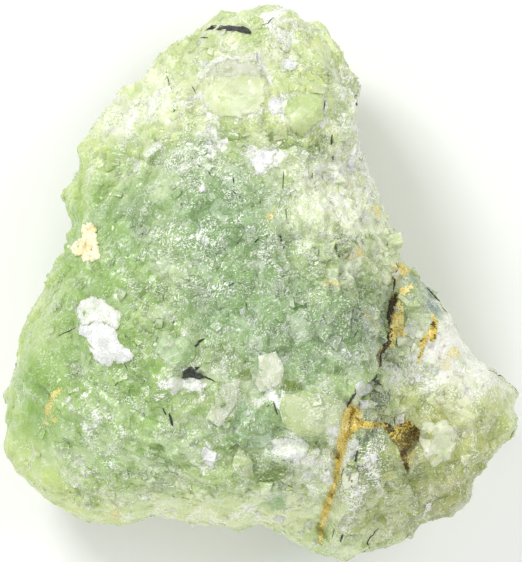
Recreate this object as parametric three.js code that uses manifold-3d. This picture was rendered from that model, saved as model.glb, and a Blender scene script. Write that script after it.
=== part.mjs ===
// Raw prehnite: a palm-size broken lump of pale green crystals grown into one solid.
// It lies on its broad hidden side, with its crystal face up. Millimetres, +Z up.
// The origin is on the resting plane, under the middle of the stone.
import * as THREE from 'three';
import { mergeVertices } from 'three/addons/utils/BufferGeometryUtils.js';
import Module from 'manifold-3d';

// Driving dimensions of the body
const BELT_HEIGHT = 14.5;        // height of the widest level above the resting plane
const RISE_ABOVE = 19.0;         // from the widest level to the crystal face
const REACH_BELOW = 17.5;        // from the widest level down, cut off by the flat base
const BOXINESS = 2.9;            // 2 is a ball, more is squarer
const OUTLINE_FADE = 6;          // how soon the notched outline fades to a broad one inside the rim
const BELT_FADE = 24;            // how soon the broken faces fade out at the belt
const FACE_CRISPNESS = 90;       // how sharp the ridges between broken faces are
const BODY_DETAIL = 20;          // subdivisions of each face of the starting icosahedron
const FACE_SHARE = 0.28;         // how far the triangles crowd towards the crystal face

// Middle of the outline, and the outline seen from above, widest level
const HEART = [-2.4, -4.3];
const OUTLINE = [
  [0.0, 30.5], [3.2, 30.1], [5.4, 28.5], [7.2, 27.9], [8.6, 25.6], [9.2, 23.0], [10.5, 20.1], [10.6, 16.4],
  [11.4, 13.3], [13.4, 8.5], [14.3, 5.4], [14.7, 2.5], [16.9, 0.3], [19.6, -2.3], [22.2, -6.3],
  [24.2, -8.9], [27.1, -10.7], [28.9, -12.7], [28.4, -14.6], [28.7, -16.4], [26.2, -19.3],
  [23.5, -21.9], [22.7, -24.4], [20.5, -26.1], [16.9, -27.3], [15.0, -29.0], [12.1, -30.5],
  [9.2, -30.9], [5.5, -30.1], [2.4, -28.2], [0.0, -27.1], [-2.9, -27.8], [-7.9, -27.1],
  [-12.3, -26.5], [-15.6, -27.4], [-20.0, -26.6], [-23.1, -25.0], [-25.9, -23.0],
  [-28.1, -20.8], [-28.7, -18.6], [-28.5, -12.7], [-27.3, -7.8], [-26.2, -4.3], [-24.0, -0.6],
  [-22.0, 2.8], [-21.0, 6.5], [-21.7, 8.5], [-20.6, 12.0], [-20.6, 14.6], [-18.3, 17.9],
  [-15.8, 20.6], [-13.0, 22.6], [-11.9, 24.5], [-9.0, 26.3], [-6.4, 28.3], [-2.9, 29.6],
];
const BROAD_TURNS = [-32, -24, -16, -8, 0, 8, 16, 24, 32];   // degrees that the broad outline averages

// Broken faces on the crystal side: x, y, and how deep each cuts as a share of the reach
const BROKEN_FACES = [
  [-5, 1, 0.03], [-16.5, 4, 0.06], [-18, -7.5, 0.03], [-17.5, -18.5, 0.07], [-4.5, -20.5, 0.05],
  [-16, -24.5, 0.13], [-1.5, 23, 0.1], [-14, 18.5, 0.15], [7, 20, 0.1], [11, 9, 0.1],
  [18.5, -4.3, 0.17], [23, -12, 0.11], [20.7, -21, 0.15], [12, -22, 0.04], [18.5, -25.5, 0.16],
  [4, -2, 0.02], [4, -26.5, 0.11], [-24, -15, 0.05], [-20.5, 10, 0.1],
];
const HIDDEN_FACES = 40;         // places round the whole stone, of which the sides and back take theirs
const HIDDEN_TOP = 0.25;         // highest direction that a hidden face takes
const HIDDEN_DEPTH = [0.04, 0.11];
const HIDDEN_LEAN = 0.35;

// The old crack between the main body and the lower block on the right, top to bottom
const SEAM = [
  [15.0, 2.1], [14.3, -3.2], [13.9, -7.0], [13.3, -9.2], [12.4, -10.9], [10.8, -13.6],
  [9.5, -15.7], [8.5, -18.9], [7.7, -23.2], [6.7, -27.6],
];
const SEAM_DROP = [[4, 3.0], [-8, 2.8], [-13, 1.0], [-17, -0.6], [-20, -1.2], [-28, -1.5]];
const SEAM_SOFTNESS = 0.9;       // half width of the step between the two blocks
const SEAM_WIDTH = 0.9;
const SEAM_DEPTH = 1.6;
const BRANCH = [[9.2, -14.1], [11.6, -14.6], [13.2, -15.4], [15.4, -16.4]];
const BRANCH_WIDTH = 1.3;
const BRANCH_DEPTH = 1.2;

// The four-cornered pit, where a crystal has weathered out
const PIT = { x: 15.9, y: -17.1, radius: 2.3, depth: 3.4, floor: 0.45, turn: 0.12 };

// Lumps and hollows of the crystal side: x, y, half length, half width, turn, height
const LUMPS = [
  [-3.0, 21.2, 3.8, 3.3, 0, 1.3], [5.0, 18.6, 2.7, 2.2, 0, 1.1], [3.6, 15.4, 3.8, 1.1, 0.05, -1.2],
  [-24.6, -13.6, 1.1, 2.2, -0.3, -0.6], [12.4, -24.0, 4.4, 6.6, 0.1, 1.2],
  [-17.2, -5.8, 2.6, 3.6, -0.4, 0.8], [5.7, -14.7, 3.8, 2.5, -0.3, 0.8],
  [-4.3, -13.8, 1.8, 2.7, -0.2, 0.7], [0.9, -10.2, 1.6, 2.0, 0, 0.7], [-13, -1, 3, 5, 0.5, -0.5],
  [-9, 9, 4, 3, 0.3, 0.5], [0, 5, 4, 3, 0.6, 0.4], [-12, -15, 4, 3, 0.5, 0.5],
];
const LUMP_EDGE = 0.35;

// Ledges: the side on the left of each path stands above the other, and both fade away from it
const LEDGES = [
  { // the crystal face over the green hollow on the left
    height: 1.9,
    reach: 3.2,
    path: [[-26.8, -7.9], [-25.8, -10.1], [-24.4, -11.7], [-23.3, -12.7], [-22.1, -14.5], [-21.8, -15.9]],
  },
  { // the crystal face over the lower left band
    height: 2.0,
    reach: 3.5,
    path: [[-25.5, -22.0], [-23.8, -23.0], [-21.6, -23.6], [-19.4, -24.5], [-17.2, -25.6], [-13.0, -26.6]],
  },
  { // the lower lobe over the block on the right
    height: 1.8,
    reach: 3.5,
    path: [[15.6, -28.2], [16.0, -26.8], [16.6, -24.9], [16.5, -22.9], [14.7, -20.9], [12.9, -19.6]],
  },
  { // the pale bevel at the upper left
    height: 0.9,
    reach: 3.0,
    path: [[-20.0, 14.4], [-13.4, 15.5], [-9.6, 16.8], [-5.2, 17.9]],
  },
];
const LEDGE_SOFTNESS = 0.5;      // half width of a ledge's step
const LEDGE_ENDS = 0.2;          // share of a ledge's length over which each end fades
const CRYSTAL_SIDE = [11, 18];   // heights between which the named lumps and the crack fade in

// Waxy, calmer patches: x, y, half length, half width, turn
const CALM_PATCHES = [[-22, -14, 8, 14, 0], [-8, -25, 14, 4, 0], [22.5, -10, 4, 6, 0.5]];
const CALMING = 0.65;

// Blocky crystals grown together, large and middling, each a tilted plate over its own cell
const BLOCK_SIZES = [
  { count: 170, salt: 11, height: 0.45, tilt: 0.15 },
  { count: 640, salt: 21, height: 0.34, tilt: 0.3 },
];
const BLOCK_BORDER = 0.5;        // width over which one plate steps to the next
const BLOCK_SCATTER = 0.9;
const SWELL = 0.35;
const RIM_SHRINK = 0.3;          // how far the belt is drawn in, so that its blocks stay within the outline

const BASE_BOX = 90;             // side of the box whose top face cuts the base flat
const SKY = 45;                  // height above every point of the stone

const lerp = THREE.MathUtils.lerp;
const fraction = (value) => value - Math.floor(value);

// The k-th repeatable number from 0 to 1 for item i
const chance = (i, k) => fraction(Math.sin(i * 12.9898 + k * 78.233) * 43758.5453);

function ramp(value, from, to) {
  const t = Math.min(Math.max((value - from) / (to - from), 0), 1);
  return t * t * (3 - 2 * t);
}

// Value at place on a line through [place, value] pairs, sorted by falling place
function onLine(pairs, place) {
  for (let k = 1; k < pairs.length; k += 1) {
    const [from, to] = [pairs[k - 1], pairs[k]];
    if (place >= to[0]) {
      return lerp(to[1], from[1], Math.min((place - to[0]) / (from[0] - to[0]), 1));
    }
  }
  return pairs[pairs.length - 1][1];
}

// Even directions over a ball, along a spiral from top to bottom
function spiral(count) {
  const golden = Math.PI * (3 - Math.sqrt(5));
  return Array.from({ length: count }, (_, k) => {
    const z = 1 - (2 * (k + 0.5)) / count;
    const r = Math.sqrt(1 - z * z);
    return new THREE.Vector3(r * Math.cos((k + 0.5) * golden), r * Math.sin((k + 0.5) * golden), z);
  });
}

// Distance from the heart to the outline along one heading
function outlineReach(heading) {
  const [dx, dy] = [Math.cos(heading), Math.sin(heading)];
  let reach = 0;
  OUTLINE.forEach((corner, k) => {
    const next = OUTLINE[(k + 1) % OUTLINE.length];
    const [ax, ay] = [corner[0] - HEART[0], corner[1] - HEART[1]];
    const [ex, ey] = [next[0] - corner[0], next[1] - corner[1]];
    const across = dx * ey - dy * ex;
    const along = (ax * ey - ay * ex) / across;
    const part = (ax * dy - ay * dx) / across;
    if (along > 0 && part > -1e-9 && part < 1 + 1e-9) {
      reach = Math.max(reach, along);
    }
  });
  return reach;
}

function broadReach(heading) {
  const reaches = BROAD_TURNS.map((turn) => outlineReach(heading + THREE.MathUtils.degToRad(turn)));
  return reaches.reduce((sum, reach) => sum + reach, 0) / reaches.length;
}

// A direction put on the squarish unit ball
function onBall(direction) {
  const across = Math.hypot(direction.x, direction.y);
  const size = (across ** BOXINESS + Math.abs(direction.z) ** BOXINESS) ** (1 / BOXINESS);
  return direction.clone().divideScalar(size);
}

// Outward direction of the squarish unit ball at one of its points
function ballNormal(point) {
  const across = Math.hypot(point.x, point.y);
  const pull = across ** (BOXINESS - 2);
  const lift = Math.sign(point.z) * Math.abs(point.z) ** (BOXINESS - 1);
  return new THREE.Vector3(point.x * pull, point.y * pull, lift).normalize();
}

// The planes that break the ball: a normal, and the distance from the middle
function brokenPlanes() {
  const planes = BROKEN_FACES.map(([x, y, depth]) => {
    const heading = Math.atan2(y - HEART[1], x - HEART[0]);
    const share = Math.hypot(x - HEART[0], y - HEART[1]) / outlineReach(heading);
    const across = Math.min(share, 0.985);
    const z = (1 - across ** BOXINESS) ** (1 / BOXINESS);
    const point = new THREE.Vector3(across * Math.cos(heading), across * Math.sin(heading), z);
    const normal = ballNormal(point);
    return { normal, distance: normal.dot(point) * (1 - depth) };
  });
  spiral(HIDDEN_FACES).forEach((direction, k) => {
    if (direction.z > HIDDEN_TOP) {
      return;
    }
    const point = onBall(direction);
    const lean = new THREE.Vector3(chance(k, 1) - 0.5, chance(k, 2) - 0.5, chance(k, 3) - 0.5);
    const normal = ballNormal(point).addScaledVector(lean, HIDDEN_LEAN).normalize();
    const depth = lerp(HIDDEN_DEPTH[0], HIDDEN_DEPTH[1], chance(k, 4));
    planes.push({ normal, distance: normal.dot(point) * (1 - depth) });
  });
  return planes;
}

const PLANES = brokenPlanes();

// 1 at the belt, 0 well above or below it
function beltShare(direction) {
  const point = onBall(direction);
  return Math.hypot(point.x, point.y) ** BELT_FADE;
}

// Point of the broken body in one direction from its middle
function bodyPoint(direction) {
  const point = onBall(direction);
  let crowd = 1;
  PLANES.forEach(({ normal, distance }) => {
    crowd += Math.max(point.dot(normal) / distance, 0) ** FACE_CRISPNESS;
  });
  point.multiplyScalar(lerp(crowd ** (-1 / FACE_CRISPNESS), 1, beltShare(direction)));
  const heading = Math.atan2(direction.y, direction.x);
  const across = Math.hypot(point.x, point.y);
  const reach = lerp(broadReach(heading), outlineReach(heading), across ** OUTLINE_FADE) * across;
  const wander = 2.2 * Math.sin(heading + 1) + 1.4 * Math.sin(2 * heading + 0.4)
    + 0.9 * Math.sin(3 * heading + 2);
  return new THREE.Vector3(
    HEART[0] + Math.cos(heading) * reach,
    HEART[1] + Math.sin(heading) * reach,
    BELT_HEIGHT + (point.z > 0 ? RISE_ABOVE : REACH_BELOW) * point.z + wander * across ** 3,
  );
}

// 1 inside an oval patch, 0 outside, with a soft edge
function patch(x, y, [cx, cy, halfLength, halfWidth, turn]) {
  const [a, b] = [x - cx, y - cy];
  const along = (a * Math.cos(turn) + b * Math.sin(turn)) / halfLength;
  const beside = (b * Math.cos(turn) - a * Math.sin(turn)) / halfWidth;
  return ramp(-Math.hypot(along, beside), -1 - LUMP_EDGE, -1 + LUMP_EDGE);
}

function ledgeRise(x, y, { path, height, reach }) {
  let near = { gap: Infinity };
  for (let k = 1; k < path.length; k += 1) {
    const [ax, ay] = path[k - 1];
    const [ex, ey] = [path[k][0] - ax, path[k][1] - ay];
    const part = THREE.MathUtils.clamp(((x - ax) * ex + (y - ay) * ey) / (ex * ex + ey * ey), 0, 1);
    const [gx, gy] = [x - ax - part * ex, y - ay - part * ey];
    const gap = Math.hypot(gx, gy);
    if (gap < near.gap) {
      near = { gap, side: Math.sign(ex * gy - ey * gx), run: (k - 1 + part) / (path.length - 1) };
    }
  }
  const ends = ramp(near.run, 0, LEDGE_ENDS) * ramp(1 - near.run, 0, LEDGE_ENDS);
  const step = ramp(near.side * near.gap, -LEDGE_SOFTNESS, LEDGE_SOFTNESS) - 0.5;
  return height * step * ramp(-near.gap, -reach, 0) * ends;
}

// The block on the right of the crack lies lower at the top, and higher at the bottom
function seamDrop(x, y) {
  const beyond = x - onLine(SEAM.map(([sx, sy]) => [sy, sx]), y);
  return onLine(SEAM_DROP, y) * ramp(beyond, -SEAM_SOFTNESS, SEAM_SOFTNESS);
}

// The middles of one size of block, spread over the body
function blockCentres({ count, salt }) {
  const spread = BLOCK_SCATTER / Math.sqrt(count);
  return spiral(count).map((direction, k) => {
    const jitter = [0, 1, 2].map((axis) => (chance(k, salt + axis) * 2 - 1) * spread);
    return bodyPoint(direction.add(new THREE.Vector3(...jitter)).normalize());
  });
}

const BLOCKS = BLOCK_SIZES.map((size) => ({ ...size, centres: blockCentres(size) }));

// Height of block k's tilted plate over a point
function plateHeight({ salt, height, tilt, centres }, point, k) {
  const lean = [4, 5, 6].map((axis) => chance(k, salt + axis) * 2 - 1);
  const offset = point.clone().sub(centres[k]);
  return (chance(k, salt + 3) * 2 - 1) * height + tilt * offset.dot(new THREE.Vector3(...lean));
}

// The nearest block's plate, stepping to its neighbour's at their border
function blockRelief(blocks, point) {
  let own = { gap: Infinity, k: 0 };
  let next = own;
  blocks.centres.forEach((centre, k) => {
    const gap = centre.distanceTo(point);
    if (gap < own.gap) {
      next = own;
      own = { gap, k };
    } else if (gap < next.gap) {
      next = { gap, k };
    }
  });
  const share = 0.5 + 0.5 * ramp(next.gap - own.gap, 0, BLOCK_BORDER);
  return lerp(plateHeight(blocks, point, next.k), plateHeight(blocks, point, own.k), share);
}

function relief(point, belt) {
  const { x, y, z } = point;
  let named = -seamDrop(x, y);
  LUMPS.forEach((lump) => {
    named += lump[5] * patch(x, y, lump);
  });
  LEDGES.forEach((ledge) => {
    named += ledgeRise(x, y, ledge);
  });
  const calm = CALM_PATCHES.reduce((sum, area) => sum + patch(x, y, area), 0);
  const rough = 1 - CALMING * Math.min(calm, 1);
  const swell = Math.sin(0.33 * x + 1.3 * Math.sin(0.21 * y))
    + Math.sin(0.29 * y + 1.1 * Math.sin(0.27 * z) + 1);
  const plates = BLOCKS.reduce((sum, blocks) => sum + blockRelief(blocks, point), 0);
  const broad = named * ramp(z, ...CRYSTAL_SIDE) + SWELL * swell;
  return broad * (1 - belt) + rough * plates - RIM_SHRINK * belt;
}

function bodyGeometry() {
  const ball = new THREE.IcosahedronGeometry(1, BODY_DETAIL);
  ball.deleteAttribute('normal');
  ball.deleteAttribute('uv');
  const geometry = mergeVertices(ball);
  const places = geometry.attributes.position;
  for (let k = 0; k < places.count; k += 1) {
    const direction = new THREE.Vector3().fromBufferAttribute(places, k).normalize();
    direction.z += FACE_SHARE * (1 - direction.z ** 2);
    direction.normalize();
    const point = bodyPoint(direction);
    point.addScaledVector(direction, relief(point, beltShare(direction)));
    places.setXYZ(k, point.x, point.y, point.z);
  }
  return geometry;
}

// Height of the crystal side over a place
function surfaceHeight(mesh, x, y) {
  const ray = new THREE.Raycaster(new THREE.Vector3(x, y, SKY), new THREE.Vector3(0, 0, -1));
  return ray.intersectObject(mesh)[0].point.z;
}

// A narrow cutter along a path, whose floor follows the surface at a depth
function trenchGeometry(mesh, path, width, depth) {
  const steps = path.length - 1;
  const geometry = new THREE.BoxGeometry(1, 1, 1, 1, steps, 1);
  const places = geometry.attributes.position;
  for (let k = 0; k < places.count; k += 1) {
    const step = Math.round((places.getY(k) + 0.5) * steps);
    const [x, y] = path[step];
    const [before, after] = [path[Math.max(step - 1, 0)], path[Math.min(step + 1, steps)]];
    const run = new THREE.Vector2(after[0] - before[0], after[1] - before[1]).normalize();
    const side = places.getX(k) * width;
    const floor = surfaceHeight(mesh, x, y) - depth;
    places.setXYZ(k, x + run.y * side, y - run.x * side, places.getZ(k) > 0 ? SKY : floor);
  }
  return geometry;
}

// A four-sided cutter, narrower at its floor
function pitGeometry(mesh) {
  const floor = surfaceHeight(mesh, PIT.x, PIT.y) - PIT.depth;
  const height = 2 * PIT.depth;
  const widening = PIT.radius + (PIT.radius * (1 - PIT.floor) * (height - PIT.depth)) / PIT.depth;
  const geometry = new THREE.CylinderGeometry(widening, PIT.radius * PIT.floor, height, 4);
  geometry.rotateX(Math.PI / 2);
  geometry.rotateZ(PIT.turn);
  geometry.translate(PIT.x, PIT.y, floor + height / 2);
  return geometry;
}

const wasm = await Module();
wasm.setup();

function solidFrom(geometry) {
  const plain = geometry.clone();
  plain.deleteAttribute('normal');
  plain.deleteAttribute('uv');
  const merged = mergeVertices(plain);
  return new wasm.Manifold(new wasm.Mesh({
    numProp: 3,
    vertProperties: new Float32Array(merged.attributes.position.array),
    triVerts: new Uint32Array(merged.index.array),
  }));
}

function geometryFrom(solid) {
  const mesh = solid.getMesh();
  const geometry = new THREE.BufferGeometry();
  geometry.setAttribute('position', new THREE.BufferAttribute(mesh.vertProperties, 3));
  geometry.setIndex(new THREE.BufferAttribute(mesh.triVerts, 1));
  geometry.computeVertexNormals();
  return geometry;
}

function stoneGeometry() {
  const body = bodyGeometry();
  const surface = new THREE.Mesh(body);
  const base = new THREE.BoxGeometry(BASE_BOX, BASE_BOX, BASE_BOX).translate(0, 0, -BASE_BOX / 2);
  const cutters = [
    trenchGeometry(surface, SEAM, SEAM_WIDTH, SEAM_DEPTH),
    trenchGeometry(surface, BRANCH, BRANCH_WIDTH, BRANCH_DEPTH),
    pitGeometry(surface),
    base,
  ];
  return geometryFrom(cutters.reduce((stone, cutter) => stone.subtract(solidFrom(cutter)), solidFrom(body)));
}

const stone = new THREE.Mesh(
  stoneGeometry(),
  new THREE.MeshStandardMaterial({ color: 0xbecd9e, roughness: 0.5, metalness: 0 }),
);
stone.name = 'prehnite_stone';

const prehnite = new THREE.Group();
prehnite.add(stone);

export default prehnite;
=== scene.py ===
"""Raw prehnite: a palm-size lump of pale green grown-together crystals, lying on a flat broken base.

Lengths are millimetres in the stone's own frame, and become metres when a mesh is made.
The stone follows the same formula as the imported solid, with finer crystals added.
"""
import math
import random
from itertools import chain, combinations
from types import SimpleNamespace

import bpy
import numpy as np
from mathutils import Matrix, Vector, bvhtree, geometry, kdtree


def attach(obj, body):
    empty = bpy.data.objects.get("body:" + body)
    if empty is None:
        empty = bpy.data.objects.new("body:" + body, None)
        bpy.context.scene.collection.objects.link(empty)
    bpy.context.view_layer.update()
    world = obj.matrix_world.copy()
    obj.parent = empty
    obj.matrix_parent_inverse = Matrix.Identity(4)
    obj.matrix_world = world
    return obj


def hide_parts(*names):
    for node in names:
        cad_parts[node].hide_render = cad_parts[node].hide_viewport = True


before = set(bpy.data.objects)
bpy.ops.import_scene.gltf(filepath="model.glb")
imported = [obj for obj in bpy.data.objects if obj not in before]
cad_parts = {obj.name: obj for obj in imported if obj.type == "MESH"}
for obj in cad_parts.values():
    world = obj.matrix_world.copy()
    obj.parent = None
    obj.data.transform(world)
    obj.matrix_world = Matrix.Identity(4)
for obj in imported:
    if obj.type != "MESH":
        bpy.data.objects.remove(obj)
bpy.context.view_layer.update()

MM = 0.001
FAR = 1e9                        # more than any length on the stone
STONE = "prehnite_stone"

# Body of the stone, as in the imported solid
BELT_HEIGHT, RISE_ABOVE, REACH_BELOW = 14.5, 19.0, 17.5
BOXINESS, OUTLINE_FADE, BELT_FADE, FACE_CRISPNESS = 2.9, 6, 24, 90
FACE_SHARE = 0.28                # how much more of the grid the crystal side gets
FACE_LIMIT = 0.985               # the outermost place of a broken face, as a share of the reach
HAIR = 1e-9                      # tolerance at the corners of the outline
OUTLINE_HEADINGS = 7200
HEART = np.array([-2.4, -4.3])
OUTLINE = np.array([
    (0.0, 30.5), (3.2, 30.1), (5.4, 28.5), (7.2, 27.9), (8.6, 25.6), (9.2, 23.0), (10.5, 20.1),
    (10.6, 16.4), (11.4, 13.3), (13.4, 8.5), (14.3, 5.4), (14.7, 2.5), (16.9, 0.3), (19.6, -2.3),
    (22.2, -6.3), (24.2, -8.9), (27.1, -10.7), (28.9, -12.7), (28.4, -14.6), (28.7, -16.4),
    (26.2, -19.3), (23.5, -21.9), (22.7, -24.4), (20.5, -26.1), (16.9, -27.3), (15.0, -29.0),
    (12.1, -30.5), (9.2, -30.9), (5.5, -30.1), (2.4, -28.2), (0.0, -27.1), (-2.9, -27.8),
    (-7.9, -27.1), (-12.3, -26.5), (-15.6, -27.4), (-20.0, -26.6), (-23.1, -25.0), (-25.9, -23.0),
    (-28.1, -20.8), (-28.7, -18.6), (-28.5, -12.7), (-27.3, -7.8), (-26.2, -4.3), (-24.0, -0.6),
    (-22.0, 2.8), (-21.0, 6.5), (-21.7, 8.5), (-20.6, 12.0), (-20.6, 14.6), (-18.3, 17.9),
    (-15.8, 20.6), (-13.0, 22.6), (-11.9, 24.5), (-9.0, 26.3), (-6.4, 28.3), (-2.9, 29.6)])
BROAD_TURNS = np.radians([-32, -24, -16, -8, 0, 8, 16, 24, 32])

# Broken faces of the crystal side (x, y, depth share), and those of the hidden sides
BROKEN_FACES = [
    (-5, 1, 0.03), (-16.5, 4, 0.06), (-18, -7.5, 0.03), (-17.5, -18.5, 0.07), (-4.5, -20.5, 0.05),
    (-16, -24.5, 0.13), (-1.5, 23, 0.1), (-14, 18.5, 0.15), (7, 20, 0.1), (11, 9, 0.1),
    (18.5, -4.3, 0.17), (23, -12, 0.11), (20.7, -21, 0.15), (12, -22, 0.04), (18.5, -25.5, 0.16),
    (4, -2, 0.02), (4, -26.5, 0.11), (-24, -15, 0.05), (-20.5, 10, 0.1)]
HIDDEN_FACES, HIDDEN_TOP, HIDDEN_DEPTH, HIDDEN_LEAN = 40, 0.25, (0.04, 0.11), 0.35

# The old crack, its branch, and the weathered pit
SEAM = np.array([
    (15.0, 2.1), (14.3, -3.2), (13.9, -7.0), (13.3, -9.2), (12.4, -10.9), (10.8, -13.6),
    (9.5, -15.7), (8.5, -18.9), (7.7, -23.2), (6.7, -27.6)])
SEAM_DROP = np.array([(4, 3.0), (-8, 2.8), (-13, 1.0), (-17, -0.6), (-20, -1.2), (-28, -1.5)])
SEAM_SOFTNESS, SEAM_WIDTH, SEAM_DEPTH = 0.5, 0.9, 1.6
BRANCH = np.array([(9.2, -14.1), (11.6, -14.6), (13.2, -15.4), (15.4, -16.4)])
BRANCH_WIDTH, BRANCH_DEPTH = 1.3, 1.2
CRACK_ROUNDING = 0.6
PIT_OPEN = 0.45                  # share of the pit's depth that its brown earth leaves open
PIT = dict(x=15.9, y=-17.1, radius=2.3, depth=3.4, floor=0.45, turn=0.12)

# Lumps and hollows of the crystal side: x, y, half length, half width, turn, height
LUMPS = [
    (-3.0, 21.2, 3.8, 3.3, 0, 1.3), (5.0, 18.6, 2.7, 2.2, 0, 1.1), (3.6, 15.4, 3.8, 1.1, 0.05, -1.2),
    (-24.6, -13.6, 1.1, 2.2, -0.3, -0.6), (12.4, -24.0, 4.4, 6.6, 0.1, 1.2),
    (-17.2, -5.8, 2.6, 3.6, -0.4, 0.8), (5.7, -14.7, 3.8, 2.5, -0.3, 0.8),
    (-4.3, -13.8, 1.8, 2.7, -0.2, 0.7), (0.9, -10.2, 1.6, 2.0, 0, 0.7), (-13, -1, 3, 5, 0.5, -0.5),
    (-9, 9, 4, 3, 0.3, 0.5), (0, 5, 4, 3, 0.6, 0.4), (-12, -15, 4, 3, 0.5, 0.5)]
LUMP_EDGE = 0.35
CRYSTAL_SIDE = (11, 18)

# Ledges: the side on the left of each path stands above the other, and both fade away from it
LEDGES = [
    dict(height=1.9, reach=3.2, path=np.array([
        (-26.8, -7.9), (-25.8, -10.1), (-24.4, -11.7), (-23.3, -12.7), (-22.1, -14.5), (-21.8, -15.9)])),
    dict(height=2.0, reach=3.5, path=np.array([
        (-25.5, -22.0), (-23.8, -23.0), (-21.6, -23.6), (-19.4, -24.5), (-17.2, -25.6), (-13.0, -26.6)])),
    dict(height=1.8, reach=3.5, path=np.array([
        (15.6, -28.2), (16.0, -26.8), (16.6, -24.9), (16.5, -22.9), (14.7, -20.9), (12.9, -19.6)])),
    dict(height=0.9, reach=3.0, path=np.array([(-20.0, 14.4), (-13.4, 15.5), (-9.6, 16.8), (-5.2, 17.9)]))]
LEDGE_SOFTNESS, LEDGE_ENDS = 0.25, 0.2

CALM_PATCHES = [(-22, -14, 8, 14, 0), (-8, -25, 14, 4, 0), (22.5, -10, 4, 6, 0.5)]
CALMING = 0.65
SWELL = 0.35
RIM_SHRINK = 0.3                 # how far the belt is drawn in, so that its blocks stay within the outline

# Crystal blocks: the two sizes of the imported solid, then the finer ones
BLOCK_SIZES = [
    dict(count=170, salt=11, height=0.45, tilt=0.15, border=0.5),
    dict(count=640, salt=21, height=0.34, tilt=0.3, border=0.5),
    dict(count=2400, salt=31, height=0.13, tilt=0.22, border=0.3),
    dict(count=9000, salt=41, height=0.05, tilt=0.22, border=0.15)]
PACKED_SIZES = 2
BLOCK_SCATTER = 0.9
GRID = 128


def ramp(value, low, high):
    """0 below low, 1 above high, smooth between."""
    t = np.clip((value - low) / (high - low), 0, 1)
    return t * t * (3 - 2 * t)


def chance(item, kind):
    """The kind-th repeatable number from 0 to 1 for each item."""
    value = np.sin(item * 12.9898 + kind * 78.233) * 43758.5453
    return value - np.floor(value)


def unit(rows):
    return rows / np.linalg.norm(rows, axis=-1, keepdims=True)


def spiral(count):
    """Even directions over a ball, from top to bottom."""
    step = np.arange(count) + 0.5
    z = 1 - 2 * step / count
    r = np.sqrt(1 - z * z)
    turn = step * math.pi * (3 - math.sqrt(5))
    return np.stack([r * np.cos(turn), r * np.sin(turn), z], -1)


def outline_reach(heading):
    """Distance from the heart to the outline along each heading."""
    dx, dy = np.cos(heading), np.sin(heading)
    reach = np.zeros_like(heading)
    for corner, following in zip(OUTLINE, np.roll(OUTLINE, -1, axis=0)):
        ax, ay = corner - HEART
        ex, ey = following - corner
        across = dx * ey - dy * ex
        along = (ax * ey - ay * ex) / across
        part = (ax * dy - ay * dx) / across
        hit = (along > 0) & (part > -HAIR) & (part < 1 + HAIR)
        reach = np.where(hit, np.maximum(reach, along), reach)
    return reach


TABLE_HEADINGS = np.linspace(-math.pi, math.pi, OUTLINE_HEADINGS, endpoint=False)
REACH_TABLE = outline_reach(TABLE_HEADINGS)


def quick_reach(heading):
    return np.interp(heading, TABLE_HEADINGS, REACH_TABLE, period=2 * math.pi)


def broad_reach(heading):
    return sum(quick_reach(heading + turn) for turn in BROAD_TURNS) / len(BROAD_TURNS)


def on_ball(directions):
    """Directions put on the squarish unit ball."""
    across = np.hypot(directions[:, 0], directions[:, 1])
    size = (across ** BOXINESS + np.abs(directions[:, 2]) ** BOXINESS) ** (1 / BOXINESS)
    return directions / size[:, None]


def ball_normals(points):
    pull = np.hypot(points[:, 0], points[:, 1]) ** (BOXINESS - 2)
    lift = np.sign(points[:, 2]) * np.abs(points[:, 2]) ** (BOXINESS - 1)
    return unit(np.stack([points[:, 0] * pull, points[:, 1] * pull, lift], -1))


def broken_planes():
    """Normals and distances of the planes that break the ball."""
    faces = np.array(BROKEN_FACES)
    offset = faces[:, :2] - HEART
    heading = np.arctan2(offset[:, 1], offset[:, 0])
    across = np.minimum(np.hypot(offset[:, 0], offset[:, 1]) / outline_reach(heading), FACE_LIMIT)
    height = (1 - across ** BOXINESS) ** (1 / BOXINESS)
    points = np.stack([across * np.cos(heading), across * np.sin(heading), height], -1)
    normals = ball_normals(points)
    distances = np.sum(normals * points, axis=1) * (1 - faces[:, 2])
    k = np.arange(HIDDEN_FACES)
    directions = spiral(HIDDEN_FACES)
    k = k[directions[:, 2] <= HIDDEN_TOP]
    hidden = on_ball(directions[k])
    lean = np.stack([chance(k, 1), chance(k, 2), chance(k, 3)], -1) - 0.5
    hidden_normals = unit(ball_normals(hidden) + HIDDEN_LEAN * lean)
    depth = HIDDEN_DEPTH[0] + (HIDDEN_DEPTH[1] - HIDDEN_DEPTH[0]) * chance(k, 4)
    hidden_distances = np.sum(hidden_normals * hidden, axis=1) * (1 - depth)
    return np.vstack([normals, hidden_normals]), np.concatenate([distances, hidden_distances])


PLANES = broken_planes()


def belt_wander(heading):
    """How far the belt lies above its mean height along each heading."""
    return 2.2 * np.sin(heading + 1) + 1.4 * np.sin(2 * heading + 0.4) + 0.9 * np.sin(3 * heading + 2)


def body_points(directions):
    """Points of the broken body in directions from its middle."""
    points = on_ball(directions)
    normals, distances = PLANES
    share = np.maximum(points @ normals.T / distances, 0)
    cut = (1 + np.sum(share ** FACE_CRISPNESS, axis=1)) ** (-1 / FACE_CRISPNESS)
    belt = np.hypot(points[:, 0], points[:, 1]) ** BELT_FADE
    points = points * (cut + (1 - cut) * belt)[:, None]
    heading = np.arctan2(directions[:, 1], directions[:, 0])
    across = np.hypot(points[:, 0], points[:, 1])
    rim = across ** OUTLINE_FADE
    reach = (broad_reach(heading) * (1 - rim) + quick_reach(heading) * rim) * across
    half = np.where(points[:, 2] > 0, RISE_ABOVE, REACH_BELOW)
    return np.stack([
        HEART[0] + np.cos(heading) * reach,
        HEART[1] + np.sin(heading) * reach,
        BELT_HEIGHT + half * points[:, 2] + belt_wander(heading) * across ** 3], -1)


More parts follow.
